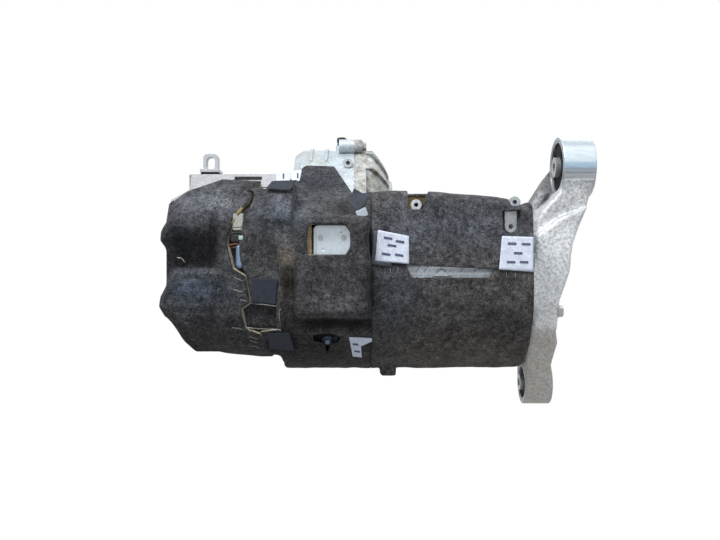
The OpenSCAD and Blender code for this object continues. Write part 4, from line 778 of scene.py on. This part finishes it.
def flap_felt(x, y, z):
    outer = flap_outer(x, y, z)
    inner = np.minimum(np.hypot(y, z) - FELT_IN_R, outer + 13)
    under = np.maximum(np.hypot(y, z) - FELT_R - 0.6, z - 34.5)
    d = np.maximum(outer, -np.minimum(inner, under))
    d = smax(d, between(x, WRAP_X0, WRAP_X1), 1.5)
    d = smax(d, polygon(x, z, FLAP_LOW), CUT_EDGE)
    d = np.maximum(d, np.maximum(y - 36, np.where(y > 0, 60 - z, -1e3)))
    d = smax(d, -np.maximum(polygon(x, z, NOTCH), y + 10), CUT_EDGE)
    d = smax(d, -np.maximum(polygon(x, z, TAB_HOLE), y + 94), CUT_EDGE)
    return np.maximum(d, -box(x, y, z, (240, -27, 60), (270, 60, 200)))


motor_tint = ((390, 300, 26, 50, 0.45), (450, 225, 90, 26, 0.5), (455, 352, 90, 24, -0.7),
              (500, 300, 40, 40, -0.15))
# The lightening and darkening marks of the wrap and the flap are partly the felt's own colour variation and
# partly painted light and shade; a painted light band runs along the wrap's lower part, which lies in shade
wrap_values = felt_values(
    wrap_outer, tint=motor_tint,
    tone=((494, 313, 11, 6, -0.45), (455, 300, 60, 20, 0.12), (455, 358, 90, 12, 0.25),
          (386, 330, 10, 40, -0.15), (460, 281, 60, 5, -0.3)),
    scuff=((440, 320, 50, 20, 0.2), (420, 350, 40, 12, 0.3), (510, 340, 20, 20, 0.3)), shows=no_foam)
flap_values = felt_values(
    flap_outer, tint=motor_tint,
    tone=((455, 225, 70, 22, 0.15), (392, 205, 14, 10, 0.25), (470, 198, 40, 5, -0.25),
          (455, 258, 40, 8, -0.1)),
    scuff=((388, 210, 14, 14, 0.5), (450, 225, 50, 18, 0.2)),
    shows=no_foam)
cover_wrap = piece("motor_wrap", wrap_felt, (24, -134, -146), (264, 134, 36), 2.0, felt_motor, "felt",
                   **wrap_values)
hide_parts("motor_felt_wrap")
cover_flap = piece("motor_flap", flap_felt, (24, -140, 22), (264, 40, 152), FELT_CELL, felt_motor, "felt",
                   **flap_values)
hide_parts("motor_felt_flap")

# Felt lining that shows in the split between the left and the middle cover, and in the middle cover's slot


def lining_outer(x, y, z):
    return inverter(x, y, z, 3.2) + 0.4 * lumps(x, y, z, 22)


def lining(x, y, z):
    d = np.maximum(lining_outer(x, y, z), -inverter(x, y, z, 0.2))
    return np.maximum(d, np.maximum(between(x, -206, -103.5), np.maximum(between(z, -74, 128), y + 70)))


# Painted shade deep in the split between the covers
lining_values = felt_values(lining_outer, tone=((240, 240, 30, 40, -0.6), (262, 318, 20, 14, -0.25)),
                            shows=no_foam)
cover_lining = piece("felt_lining", lining, (-210, -104, -80), (-98, -64, 134), 1.6, felt_left, "felt",
                     **lining_values)


def slot_outer(x, y, z):
    return np.hypot(y, z) - 120.4 + 0.2 * lumps(x, y, z, 20)


def slot_back(x, y, z):
    d = np.maximum(slot_outer(x, y, z), 118.2 - np.hypot(y, z))
    return np.maximum(d, np.maximum(between(x, -72, -8), np.maximum(between(z, -104, -56), y)))


# Painted shade in the slot
slot_values = felt_values(slot_outer, tone=((327, 340, 30, 14, -0.8),), shows=no_foam)
cover_slot = piece("slot_lining", slot_back, (-76, -124, -110), (-4, -50, -50), 1.0, felt_mid, "felt",
                   **slot_values)

# ---------------------------------------------------------------- mount bracket

ARM = [(281.9, 78), (302, 93), (316, 104), (335, 112.5), (352, 118), (362, 121.5), (348.4, 90.4), (339, 64.2),
       (334.5, 22.5), (326.7, -0.7), (319, -22.4), (314.4, -71.8), (317.5, -88.8), (308.2, -125.9), (302, -132),
       (300, -150), (272, -150), (264.9, -118.1), (274.2, -62.5), (278.8, -39.3), (278.8, 25.5)]
NECK = [(282, 76), (285, 100), (293, 117), (312, 137), (324, 152), (327, 184), (373, 184), (373, 160),
        (367.5, 138), (363, 121), (350, 90)]
WEB = [(284, 100), (300, 146), (324, 184), (344, 176), (330, 140), (306, 112)]
arm_half = table([(188, 34), (160, 40), (120, 46), (70, 50), (0, 50), (-45, 48), (-67, 47), (-70, 44),
                  (-118, 36), (-155, 33)], 0.8)
UPPER_EYE, UPPER_X = (0, 188), (324, 376)
LOWER_EYE, LOWER_X = (0, -155), (268, 311)
STRUTS_Y = (16, 36)
BOLT_SEATS = [((-36, 46), 314), ((36, 46), 314), ((-36, -40), 316), ((36, -40), 316)]


def bracket(x, y, z):
    d = smax(polygon(x, z, ARM), np.abs(y) - arm_half(z), 8)
    d = smin(d, smax(polygon(x, z, NECK), np.abs(y) - 38, 9), 5)
    skin = smax(smax(disc(y, z, UPPER_EYE, 49.2), between(x, 326, 374), 3), z - 164, 1.5)
    d = smin(d, skin, 9)
    d = np.minimum(d, smax(disc(y, z, UPPER_EYE, 48), between(x, *UPPER_X), 1.6))
    d = smin(d, smax(disc(y, z, LOWER_EYE, 34), between(x, *LOWER_X), 1.6), 6)
    struts = [capsule(x, y, z, (280, at, 108), (327, at, 182), 9.5) for at in STRUTS_Y]
    d = smin(d, smin(*struts, 9), 4)
    d = smin(d, smax(polygon(x, z, WEB), between(y, 14, 32), 3), 3)
    d = smin(d, smax(disc(y, z, (0, 0), 60), between(x, 262, 286), 3), 6)
    d = smax(d, -np.maximum(disc(y, z, UPPER_EYE, 41.3), 274 - x), 1.2)
    d = smax(d, -disc(y, z, LOWER_EYE, 27.3), 1.2)
    d = smax(d, -np.maximum(disc(y, z, (0, 0), 44), x - 274), 2)
    d = smax(d, -box(x, y, z, (308, -22, -24), (360, 22, 28), 9), 3)
    for pos, seat in BOLT_SEATS:
        d = smax(d, -np.maximum(disc(y, z, pos, 10.4), seat - x), 1)
    return np.maximum(d, 262.2 - x)


def turned(x, y, z):
    """One on the turned outside of the upper eye and on the faces of both eyes."""
    up, low = np.hypot(y, z - UPPER_EYE[1]), np.hypot(y, z - LOWER_EYE[1])
    outside = (up > 46.4) & (up < 48.9) & (z > 163.5) & (x > UPPER_X[0] - 1)

    def faces(ends):
        return (np.abs(x - ends[0]) < 1.2) | (np.abs(x - ends[1]) < 1.2)

    return (outside | faces(UPPER_X) & (up < 48.5) | faces(LOWER_X) & (low < 34.5)).astype(float)


def bracket_tone(x, y, z):
    """Painted shade: darker low down, at the top, on the struts and the web behind them, and along the line
    below the upper eye, the ledge's shadow.
    """
    # Painted shade and dark reflection on the struts and the web between them and the arm
    strut_shade = step(y, 2, 10) * step(z, 90, 112) * step(-x, -334, -322)
    # Painted shadow of the ledge below the upper eye
    line = np.exp(-((z - 162) / 2.0) ** 2) * step(x, 345, 360)
    return (-0.25 * step(-z, 64, 74) + 0.12 * step(z, -50, -20) * step(-z, -110, -80)
            - 0.12 * step(z, 100, 150) - 0.25 * line - 0.6 * strut_shade)


# The band value is each point's height on the turned eye, which picks its painted reflection band
bracket_piece = piece(
    "bracket", bracket, (258, -66, -194), (380, 66, 240), 1.6, bracket_cast, slot_of["mount_bracket"],
    machined=turned, band=lambda x, y, z: np.clip(np.where(x < 325.2, 0.25, (z - 160) / 76), 0, 1),
    tan=lambda x, y, z: 0.75 * step(-z, 60, 76) + 0.25 * step(-z, 20, 60),
    tone=bracket_tone)
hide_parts("mount_bracket")

# ---------------------------------------------------------------- small pieces in the openings


def rough_box(low, high, r, waves=0.5, size=9):
    return lambda x, y, z: box(x, y, z, low, high, r) + waves * lumps(x, y, z, size)


def small_piece(name, field, low, high, mat, slot, size=0.9, room=4):
    piece(name, field, [v - room for v in low], [v + room for v in high], size, mat, slot)


# In the split: a foam lip, a grey block, and a connector with its latch
LIP = ((-180, -109, 88), (-164, -98, 116))


def foam_lip(x, y, z):
    d = capsule(x, y, z, (-178, -103, 93), (-165, -103, 114), 2.9)
    return d + 0.7 * lumps(x, y, z, 9)


small_piece("foam_lip", foam_lip, *LIP, gold_foam, "felt")
CLIP = ((-177, -105, 82), (-162, -97.5, 107))


def clip_block(x, y, z):
    groove = box(x, y, z, (-180, -112, 85.3), (-160, -103.6, 86.7))
    return np.maximum(box(x, y, z, *CLIP, 1.2), -groove)


small_piece("harness_clip", clip_block, *CLIP, grey, "black_plastic", 0.7)
PLUG = ((-180, -108, 65), (-162, -97.5, 80.5))


def plug(x, y, z):
    d = box(x, y, z, *PLUG, 1.6)
    d = np.maximum(d, -box(x, y, z, (-176, -112, 75), (-166, -106.5, 78)))
    return np.minimum(d, box(x, y, z, (-183, -106, 68), (-178, -99, 77), 1))


small_piece("harness_plug", plug, *PLUG, black, "black_plastic", 0.7)
LATCH = ((-168, -109.5, 68), (-161.5, -104, 74.5))
small_piece("plug_latch", rough_box(*LATCH, 0.8, 0.1), *LATCH, pale_plastic, "black_plastic", 0.5)

# In the window: the foam lip along its left side
STRIP = ((-66, -150.5, 45), (-58.8, -143, 91))
small_piece("window_foam", rough_box(*STRIP, 2, 0.5), *STRIP, tan_foam, "felt")

# The terminal lid, which fills the window
LID = [(-48.5, 13), (-10, 13), (-10, 81), (-48.5, 81)]
LID_DOTS = [seen(u, v, -148) for u, v in ((341.5, 231.7), (323, 249.7))]


def lid_plate(x, y, z):
    edge = polygon(x, z, LID) - 7
    d = smax(edge, between(y, -147.8, -143.8), 0.8)
    rim = smax(np.maximum(edge, -edge - 3.2), between(y, -149.6, -146), 0.8)
    d = smin(d, rim, 0.8)
    for dot in LID_DOTS:
        d = np.maximum(d, -np.maximum(disc(x, z, dot, 1.3), y + 146.6))
    return d


lid = piece("lid_plate", lid_plate, (-60, -153, 2), (1, -140, 92), 0.8, plate_painted_bright, slot_of["terminal_lid"])
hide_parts("terminal_lid")

# Above the left cover: the seal in the inverter's top rim
SEAL = ((-183, -54, 163), (-141, -44, 168))


def rim_seal(x, y, z):
    skin = np.maximum(inverter(x, y, z, 0.9), -inverter(x, y, z, -1.5))
    return np.maximum(skin, box(x, y, z, *SEAL, 0.6))


small_piece("rim_seal", rim_seal, *SEAL, rubber, "rubber", 0.7)

# Behind the notch in the flap: a foam wall and its felt edge
WALL = ((80, -16, 108), (121, -9, 141))
small_piece("notch_foam", rough_box(*WALL, 2, 0.5), *WALL, olive_foam, "felt")
WALL_TOP = ((79, -18, 140), (122, -8, 144.5))
small_piece("notch_edge", rough_box(*WALL_TOP, 2, 0.5), *WALL_TOP, felt_motor, "felt")

# The ribbed casting of the motor that shows under the flap
TRIANGLE = outline_at(-118, (432, 276.5), (452, 276.5), (441, 268.5))
RELIEF = ((70, -127, 8), (212, -100, 40))


def ribbed(x, y, z):
    high = 119.6 + 2.4 * step(-polygon(x, z, TRIANGLE), -0.8, 0.8)
    for u in (418, 426, 462, 476, 486):
        rib = np.abs(x - seen(u, 272, -119)[0] - 0.5 * (z - 22)) - 1.6
        high = high + 1.4 * step(-rib, -0.8, 0.8)
    high = high + 1.2 * step(z, 26, 28)
    d = np.maximum(np.hypot(y, z) - np.minimum(high, 123.5), 117.4 - np.hypot(y, z))
    return np.maximum(d, np.maximum(polygon(x, z, OPENING) - 3, y + 90))


piece("motor_relief", ribbed, *RELIEF, 0.9, relief_painted_bright, slot_of["motor_housing"])

# ---------------------------------------------------------------- cloth tabs

DRAPE_PASSES, SMOOTH_PASSES = 4, 10


def union(*fields):
    """The field of several forms together."""
    return lambda x, y, z: np.minimum.reduce(np.broadcast_arrays(*[f(x, y, z) for f in fields]))


def offset(field, by):
    """The field of a form that is grown on all sides."""
    return lambda x, y, z: field(x, y, z, by)


def front(field, x, z, low=-170.0, high=60.0, size=1.0):
    """Depth at which a line of sight along y first meets a field, or nan."""
    y = np.arange(low, high, size)
    f = np.broadcast_to(field(x[:, None], y[None, :], z[:, None]), (len(x), len(y)))
    i = np.maximum(np.argmax(f < 0, 1), 1)
    r = np.arange(len(x))
    a, b = f[r, i - 1], f[r, i]
    return np.where((f < 0).any(1), y[i - 1] + size * a / np.where(a == b, 1, a - b), np.nan)


def drape(field, u, v, start):
    """Depths at which a field shows at pixels u, v; where it doesn't, the depth of the nearest that does."""
    y = np.full(len(u), float(start))
    for _ in range(DRAPE_PASSES):
        found = front(field, *seen(u, v, y))
        good = ~np.isnan(found)
        if good.any() and not good.all():
            gap = (u[:, None] - u[good]) ** 2 + (v[:, None] - v[good]) ** 2
            found = np.where(good, found, found[good][np.argmin(gap, 1)])
        y = np.where(np.isnan(found), y, found)
    return y


def band(a, b, n):
    """Quads between two closed rings of n points, the first points of which are a and b."""
    return [(a + j, a + (j + 1) % n, b + (j + 1) % n, b + j) for j in range(n)]


def cloth(name, corners, depth, mat, thick=1.3, lift=0.3, around=64, rings=8):
    """A cut of cloth with its front at pixels inside corners, lying on depth(u, v)."""
    c = np.asarray(corners, float)
    edge = np.linalg.norm(np.roll(c, -1, axis=0) - c, axis=1)
    s = np.concatenate([[0], np.cumsum(edge)])
    t = np.arange(around) * s[-1] / around
    for corner in s[:-1]:
        t[np.argmin(np.abs(t - corner))] = corner
    loop = np.stack([np.interp(t, s, np.append(c[:, i], c[0, i])) for i in (0, 1)], 1)
    share = np.arange(1, rings + 1)[:, None, None] / rings
    mid = loop.mean(0)
    uv = (mid + (loop - mid) * share).reshape(-1, 2)
    g = depth(uv[:, 0], uv[:, 1]).reshape(rings, around)
    # Hollows are bridged, so the cloth lies on the high places
    for _ in range(SMOOTH_PASSES):
        side = 0.5 * (np.roll(g, 1, axis=1) + np.roll(g, -1, axis=1))
        out = np.vstack([g[1:], g[-1:]])
        back = np.vstack([g[:1], g[:-1]])
        g = np.minimum(g, 0.5 * g + 0.25 * side + 0.125 * (out + back))
    y = np.append(g.ravel(), g[0].mean()) - lift
    uv = np.vstack([uv, mid])
    x, z = seen(uv[:, 0], uv[:, 1], y)
    back = np.stack([x, y, z], 1)
    face = back - [0, thick, 0]
    n, last = len(back), len(back) - 1
    rim = (rings - 1) * around
    faces = []
    for off in (0, n):
        faces += [(off + last, off + j, off + (j + 1) % around) for j in range(around)]
        for k in range(rings - 1):
            faces += band(off + k * around, off + (k + 1) * around, around)
    faces += band(rim, n + rim, around)
    obj = make_mesh(name, np.vstack([back, face]), faces, mat)
    edge = sum(np.linalg.norm(back[rim + j] - back[rim + (j + 1) % around]) for j in range(around))
    area = sum(p.area for p in obj.data.polygons) / 2 - thick * 1e-3 * edge * 0.5e-3
    along = back[rim + around // 4] - back[rim]
    along = along / np.linalg.norm(along)
    up = np.cross(np.cross(along, back[rim + around // 2] - back[rim]), along)
    up = up / np.linalg.norm(up)
    width, length = (np.ptp(back @ d) / 1000 for d in (along, up))
    return obj, (width, max(length, area / width)), area, (uv, y - thick)


def on_cloth(uv, y):
    """Depth on a cloth's front, from its nearest points."""
    def depth(u, v):
        gap = (u[:, None] - uv[:, 0]) ** 2 + (v[:, None] - uv[:, 1]) ** 2 + 1e-6
        near = np.argsort(gap, 1)[:, :4]
        w = 1 / np.take_along_axis(gap, near, 1)
        return (y[near] * w).sum(1) / w.sum(1)

    return depth


UPRIGHT_PERCENT, LEAN_SHARE = 12, 0.6


def tab(name, corners, under, rests_on, mat, slot, start=-110, dashes=(), slope=0.0, dash=(4.2, 1.05),
        thick=1.3, stiff=None):
    """A sewn tab with its stitch marks, lying on the field under it; a stiff one is flat."""
    def depth(u, v):
        y = drape(under, u, v, start)
        if stiff == "upright":
            return np.full_like(y, np.percentile(y, UPRIGHT_PERCENT))
        if stiff == "leaning":
            a = np.stack([np.ones_like(u), u - u.mean(), v - v.mean()], 1)
            plane = a @ np.linalg.lstsq(a, y, rcond=None)[0]
            return plane + np.minimum(y - plane, 0).min() * LEAN_SHARE
        return y

    obj, flat_size, area, top = cloth(name, corners, depth, mat, thick)
    a, b = dash
    for i, (u, v) in enumerate(dashes):
        mark = [(u + s * a, v + s * a * slope + t * b) for s, t in ((-1, -1), (1, -1), (1, 1), (-1, 1))]
        cloth(f"{name}_stitch_{i}", mark, on_cloth(*top), stitch, 0.7, 0.05, 28, 3)[0]
    return obj


motor_felt, motor_covers = union(flap_felt, wrap_felt), [cover_flap, cover_wrap]
white = (white_cloth, slot_of["white_tabs"])
dark = (slate_cloth, slot_of["dark_tabs"])
tab("left_tab_under", ((373.5, 231), (380, 230.5), (379, 263), (392, 264.5), (392, 267), (371, 264.5)),
    motor_felt, motor_covers, grey_cloth, slot_of["white_tabs"], -130, thick=0.6)
white_left = tab("left_white_tab", ((378, 230), (409, 236), (409, 264), (375, 261)), motor_felt, motor_covers,
                 *white, -130, ((388, 238), (400, 241.5), (392, 245.5), (386, 254), (399, 255)), 0.16,
                 thick=1.0)
white_right = tab("right_white_tab", ((502, 236), (533.5, 237), (533.5, 272), (499, 269.5)), motor_felt,
                  motor_covers, *white, -130, ((512, 243.5), (526, 244), (518, 253), (511, 262), (524, 262)),
                  0.03,
                  thick=0.9)
white_low = tab("low_white_tab", ((349, 337), (372, 338), (372, 341.5), (361, 346.3), (362, 357.4),
                                  (352.7, 356.4)),
                union(mid_felt, wrap_felt), [cover_mid], *white, -95, ((355.5, 344.5), (357, 351.5)), 0.1,
                (2.8, 0.9), 0.9)
white_top = tab("top_white_tab", ((276, 173.5), (291, 172.5), (290, 183.5), (277, 184.5)),
                offset(inverter, 1.0),
                [cover_mid], *white, -40, ((283.5, 176),), 0.0, (0.8, 2.6), 0.9)
white_end = tab("end_white_tab", ((291.5, 171), (302.5, 170), (302, 180.5), (292, 181.5)), offset(casing, 0.5),
                [nodes["gear_housing"]], *white, -60, ((297.7, 175.5),), 0.0, (0.8, 2.6), 0.9)
tab("seam_white_tab", ((355.5, 211.5), (365.5, 207), (368.5, 215), (358.5, 219.5)), mid_felt, [cover_mid],
    *white, -110, thick=0.9, stiff="upright")
for obj in (white_left, white_right, white_low, white_top, white_end):
    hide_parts("white_tabs")

dark_side = tab("side_dark_tab", ((252, 278), (278, 279), (276, 305), (252, 302)), union(mid_felt, left_felt),
                [cover_mid], *dark)
tab("low_dark_tab", ((268, 333), (289.7, 333), (294.5, 350.4), (269.6, 349)), mid_outer, [cover_mid], *dark,
    thick=1.0, stiff="leaning")
tab("top_dark_tab", ((272, 181), (297, 180), (290, 190), (266, 188.5)), union(mid_felt, offset(inverter, 9.0)),
    [cover_mid], *dark, -50, thick=1.0, stiff="leaning")
dark_seam = tab("seam_dark_tab", ((354, 188.5), (368, 196), (366, 204), (357, 212), (348.5, 202.5)),
                union(mid_felt, flap_felt), [cover_mid, cover_flap], *dark, -70, thick=1.0)
for obj in (dark_side, dark_seam):
    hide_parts("dark_tabs")

# ---------------------------------------------------------------- loose threads and the plug's wire


def strands(name, paths, mat, sides=5):
    """Thin closed tubes; each path is its points and its radius."""
    points, faces = [], []
    turns = np.arange(sides) * 2 * math.pi / sides
    for path, r in paths:
        p = np.asarray(path, float)
        along = np.gradient(p, axis=0)
        along /= np.linalg.norm(along, axis=1)[:, None]
        a = np.cross(along, (0.31, 0.9, 0.27))
        a /= np.linalg.norm(a, axis=1)[:, None]
        b = np.cross(along, a)
        start, n = len(points), len(p)
        for i in range(n):
            k = r * (0.55 if i in (0, n - 1) else 1)
            points += [p[i] + k * (math.cos(t) * a[i] + math.sin(t) * b[i]) for t in turns]
        rings = [start + i * sides for i in range(n)]
        for one, two in zip(rings, rings[1:]):
            faces += band(one, two, sides)
        faces += [tuple(ring + j for j in range(sides)) for ring in (rings[0], rings[-1])]
    obj = make_mesh(name, points, faces, mat)


all_felt = union(left_felt, mid_felt, wrap_felt, flap_felt, lining)


def on_felt(u, v, lift):
    """Points that lie on the covers at pixels u, v."""
    y = drape(all_felt, u, v, -112) - lift
    x, z = seen(u, v, y)
    return np.stack([x, y, z], 1)


draws = np.random.default_rng(21)


def wavy(u0, v0, u1, v1, bend=0.3, n=6):
    """Pixels along a line with a slight random wave."""
    t = np.linspace(0, 1, n)
    wave = bend * np.sin(np.pi * t * draws.uniform(0.8, 2.2) + draws.uniform(0, 3))
    return u0 + (u1 - u0) * t + wave * 0.4, v0 + (v1 - v0) * t + wave


PALE_LINES = [  # (u0, v0, u1, v1, radius)
    (251.6, 303.4, 276.5, 306, 0.9), (246.8, 327.4, 280.7, 330.2, 0.9), (263, 188.6, 288, 189.6, 0.9),
    (177, 257.3, 181.5, 258.2, 0.9), (181.5, 258.2, 185, 262.2, 0.8), (280.5, 309, 279, 313, 0.5),
    (279, 313, 279.8, 321, 0.5), (234, 277.5, 243, 281, 0.35), (233, 289, 243, 292.5, 0.35),
    (240, 299.5, 247, 301.5, 0.35), (232, 327.5, 243, 329.5, 0.3), (249, 336, 258, 339.5, 0.35),
    (249.5, 340, 258.5, 343.5, 0.3), (251, 345.5, 260, 348, 0.3), (184, 322.5, 188, 323, 0.4),
    (229.5, 203.5, 226.5, 209, 0.25), (221, 206.5, 228, 203, 0.2), (210, 208, 217, 206, 0.2)]
STREAKS = [  # (u, v0, v1)
    (390.5, 266, 273), (398, 266.5, 273), (506.4, 271.5, 277), (515.5, 272, 277.5), (524, 272.5, 277.5)]
STREAK_R = 0.22
paths = [(on_felt(*wavy(*ends), 0.5 * r), r) for *ends, r in PALE_LINES]
paths += [(on_felt(np.full(5, u), np.linspace(v0, v1, 5), 0.1), STREAK_R) for u, v0, v1 in STREAKS]
strands("loose_threads", paths, pale_thread)

# The wire that goes from under the left cover into the plug in the split
t = np.linspace(0, 1, 12)
wire_path = np.stack([-184 + 20 * t, -102.5 - 2.5 * np.sin(np.pi * t), 60 + 2.5 * np.sin(2.4 * t)], 1)
strands("plug_wire", [(wire_path, 1.7), (wire_path + [2, 1.5, -4.2], 1.5)], wire, 10)

# ---------------------------------------------------------------- stage, light and camera

SENSOR = 36
cam_data = bpy.data.cameras.new("camera")
cam_data.sensor_width = SENSOR
cam_data.lens = SENSOR * CAMERA_DIST / (PHOTO_WIDTH * PIXEL)
camera = bpy.data.objects.new("camera", cam_data)
camera.location = row((CAMERA_X, -CAMERA_DIST, CAMERA_Z))
camera.rotation_euler = (math.pi / 2, 0, 0)
bpy.context.scene.collection.objects.link(camera)
bpy.context.scene.camera = camera

# The world lights from above and looks white
SKY = ((0.0, (0.10, 0.10, 0.10)), (0.5, (0.52, 0.53, 0.54)), (1.0, (1.0, 1.03, 1.08)))
world = bpy.data.worlds.new("studio")
bpy.context.scene.world = world
world.use_nodes = True
sky = Tree(world.node_tree)
height = sky.add("SeparateXYZ", {0: sky.add("TexCoord").outputs["Generated"]}).outputs["Z"]
shine = sky.tree.nodes["Background"]
shine.inputs["Strength"].default_value = 1.0
sky.put(shine.inputs["Color"], sky.ramp(sky.spread(height, -1, 1), *SKY))
sky.mix_shaders(sky.seen_directly(), shine, sky.add("Background", {"Color": (1, 1, 1)}), "World Output")


def lamp(name, place, aim, size, power):
    data = bpy.data.lights.new(name, "AREA")
    data.size = size
    data.energy = power
    obj = bpy.data.objects.new(name, data)
    obj.location = Vector(place)
    obj.rotation_euler = (Vector(aim) - Vector(place)).to_track_quat("-Z", "Y").to_euler()
    bpy.context.scene.collection.objects.link(obj)


lamp("key", (-0.55, -1.15, 1.7), (0, -0.1, -0.05), 0.7, 40)
lamp("rim", (0.9, 0.9, 1.2), (0, 0, 0), 1.0, 12)

# The floor goes from a plain surface below the object, which keeps its shadow, to the white background
FLOOR_Z, FLOOR_HALF = -0.75, 8.0
PLAIN_R, WHITE_R, LEAST_WHITE = 0.30, 0.46, 0.8
floor_mesh = bpy.data.meshes.new("floor")
floor_mesh.from_pydata([(i * FLOOR_HALF, j * FLOOR_HALF, FLOOR_Z) for i,
                        j in ((-1, -1), (1, -1), (1, 1), (-1, 1))],
                       [], [(0, 1, 2, 3)])
floor = bpy.data.objects.new("floor", floor_mesh)
bpy.context.scene.collection.objects.link(floor)
ground = Nodes("floor", (0.30, 0.30, 0.30), 0.95)
place = ground.add("VectorMath", {0: ground.coords}, operation="LENGTH").outputs["Value"]
far = ground.spread(place, PLAIN_R, WHITE_R, LEAST_WHITE, 1.0)
ground.mix_shaders(ground.math("MULTIPLY", ground.seen_directly(), far, True), ground.bsdf,
                   ground.add("Emission", {"Color": (1, 1, 1)}), "Material Output")
floor_mesh.materials.append(ground.mat)

bpy.context.scene.view_settings.view_transform = "Standard"
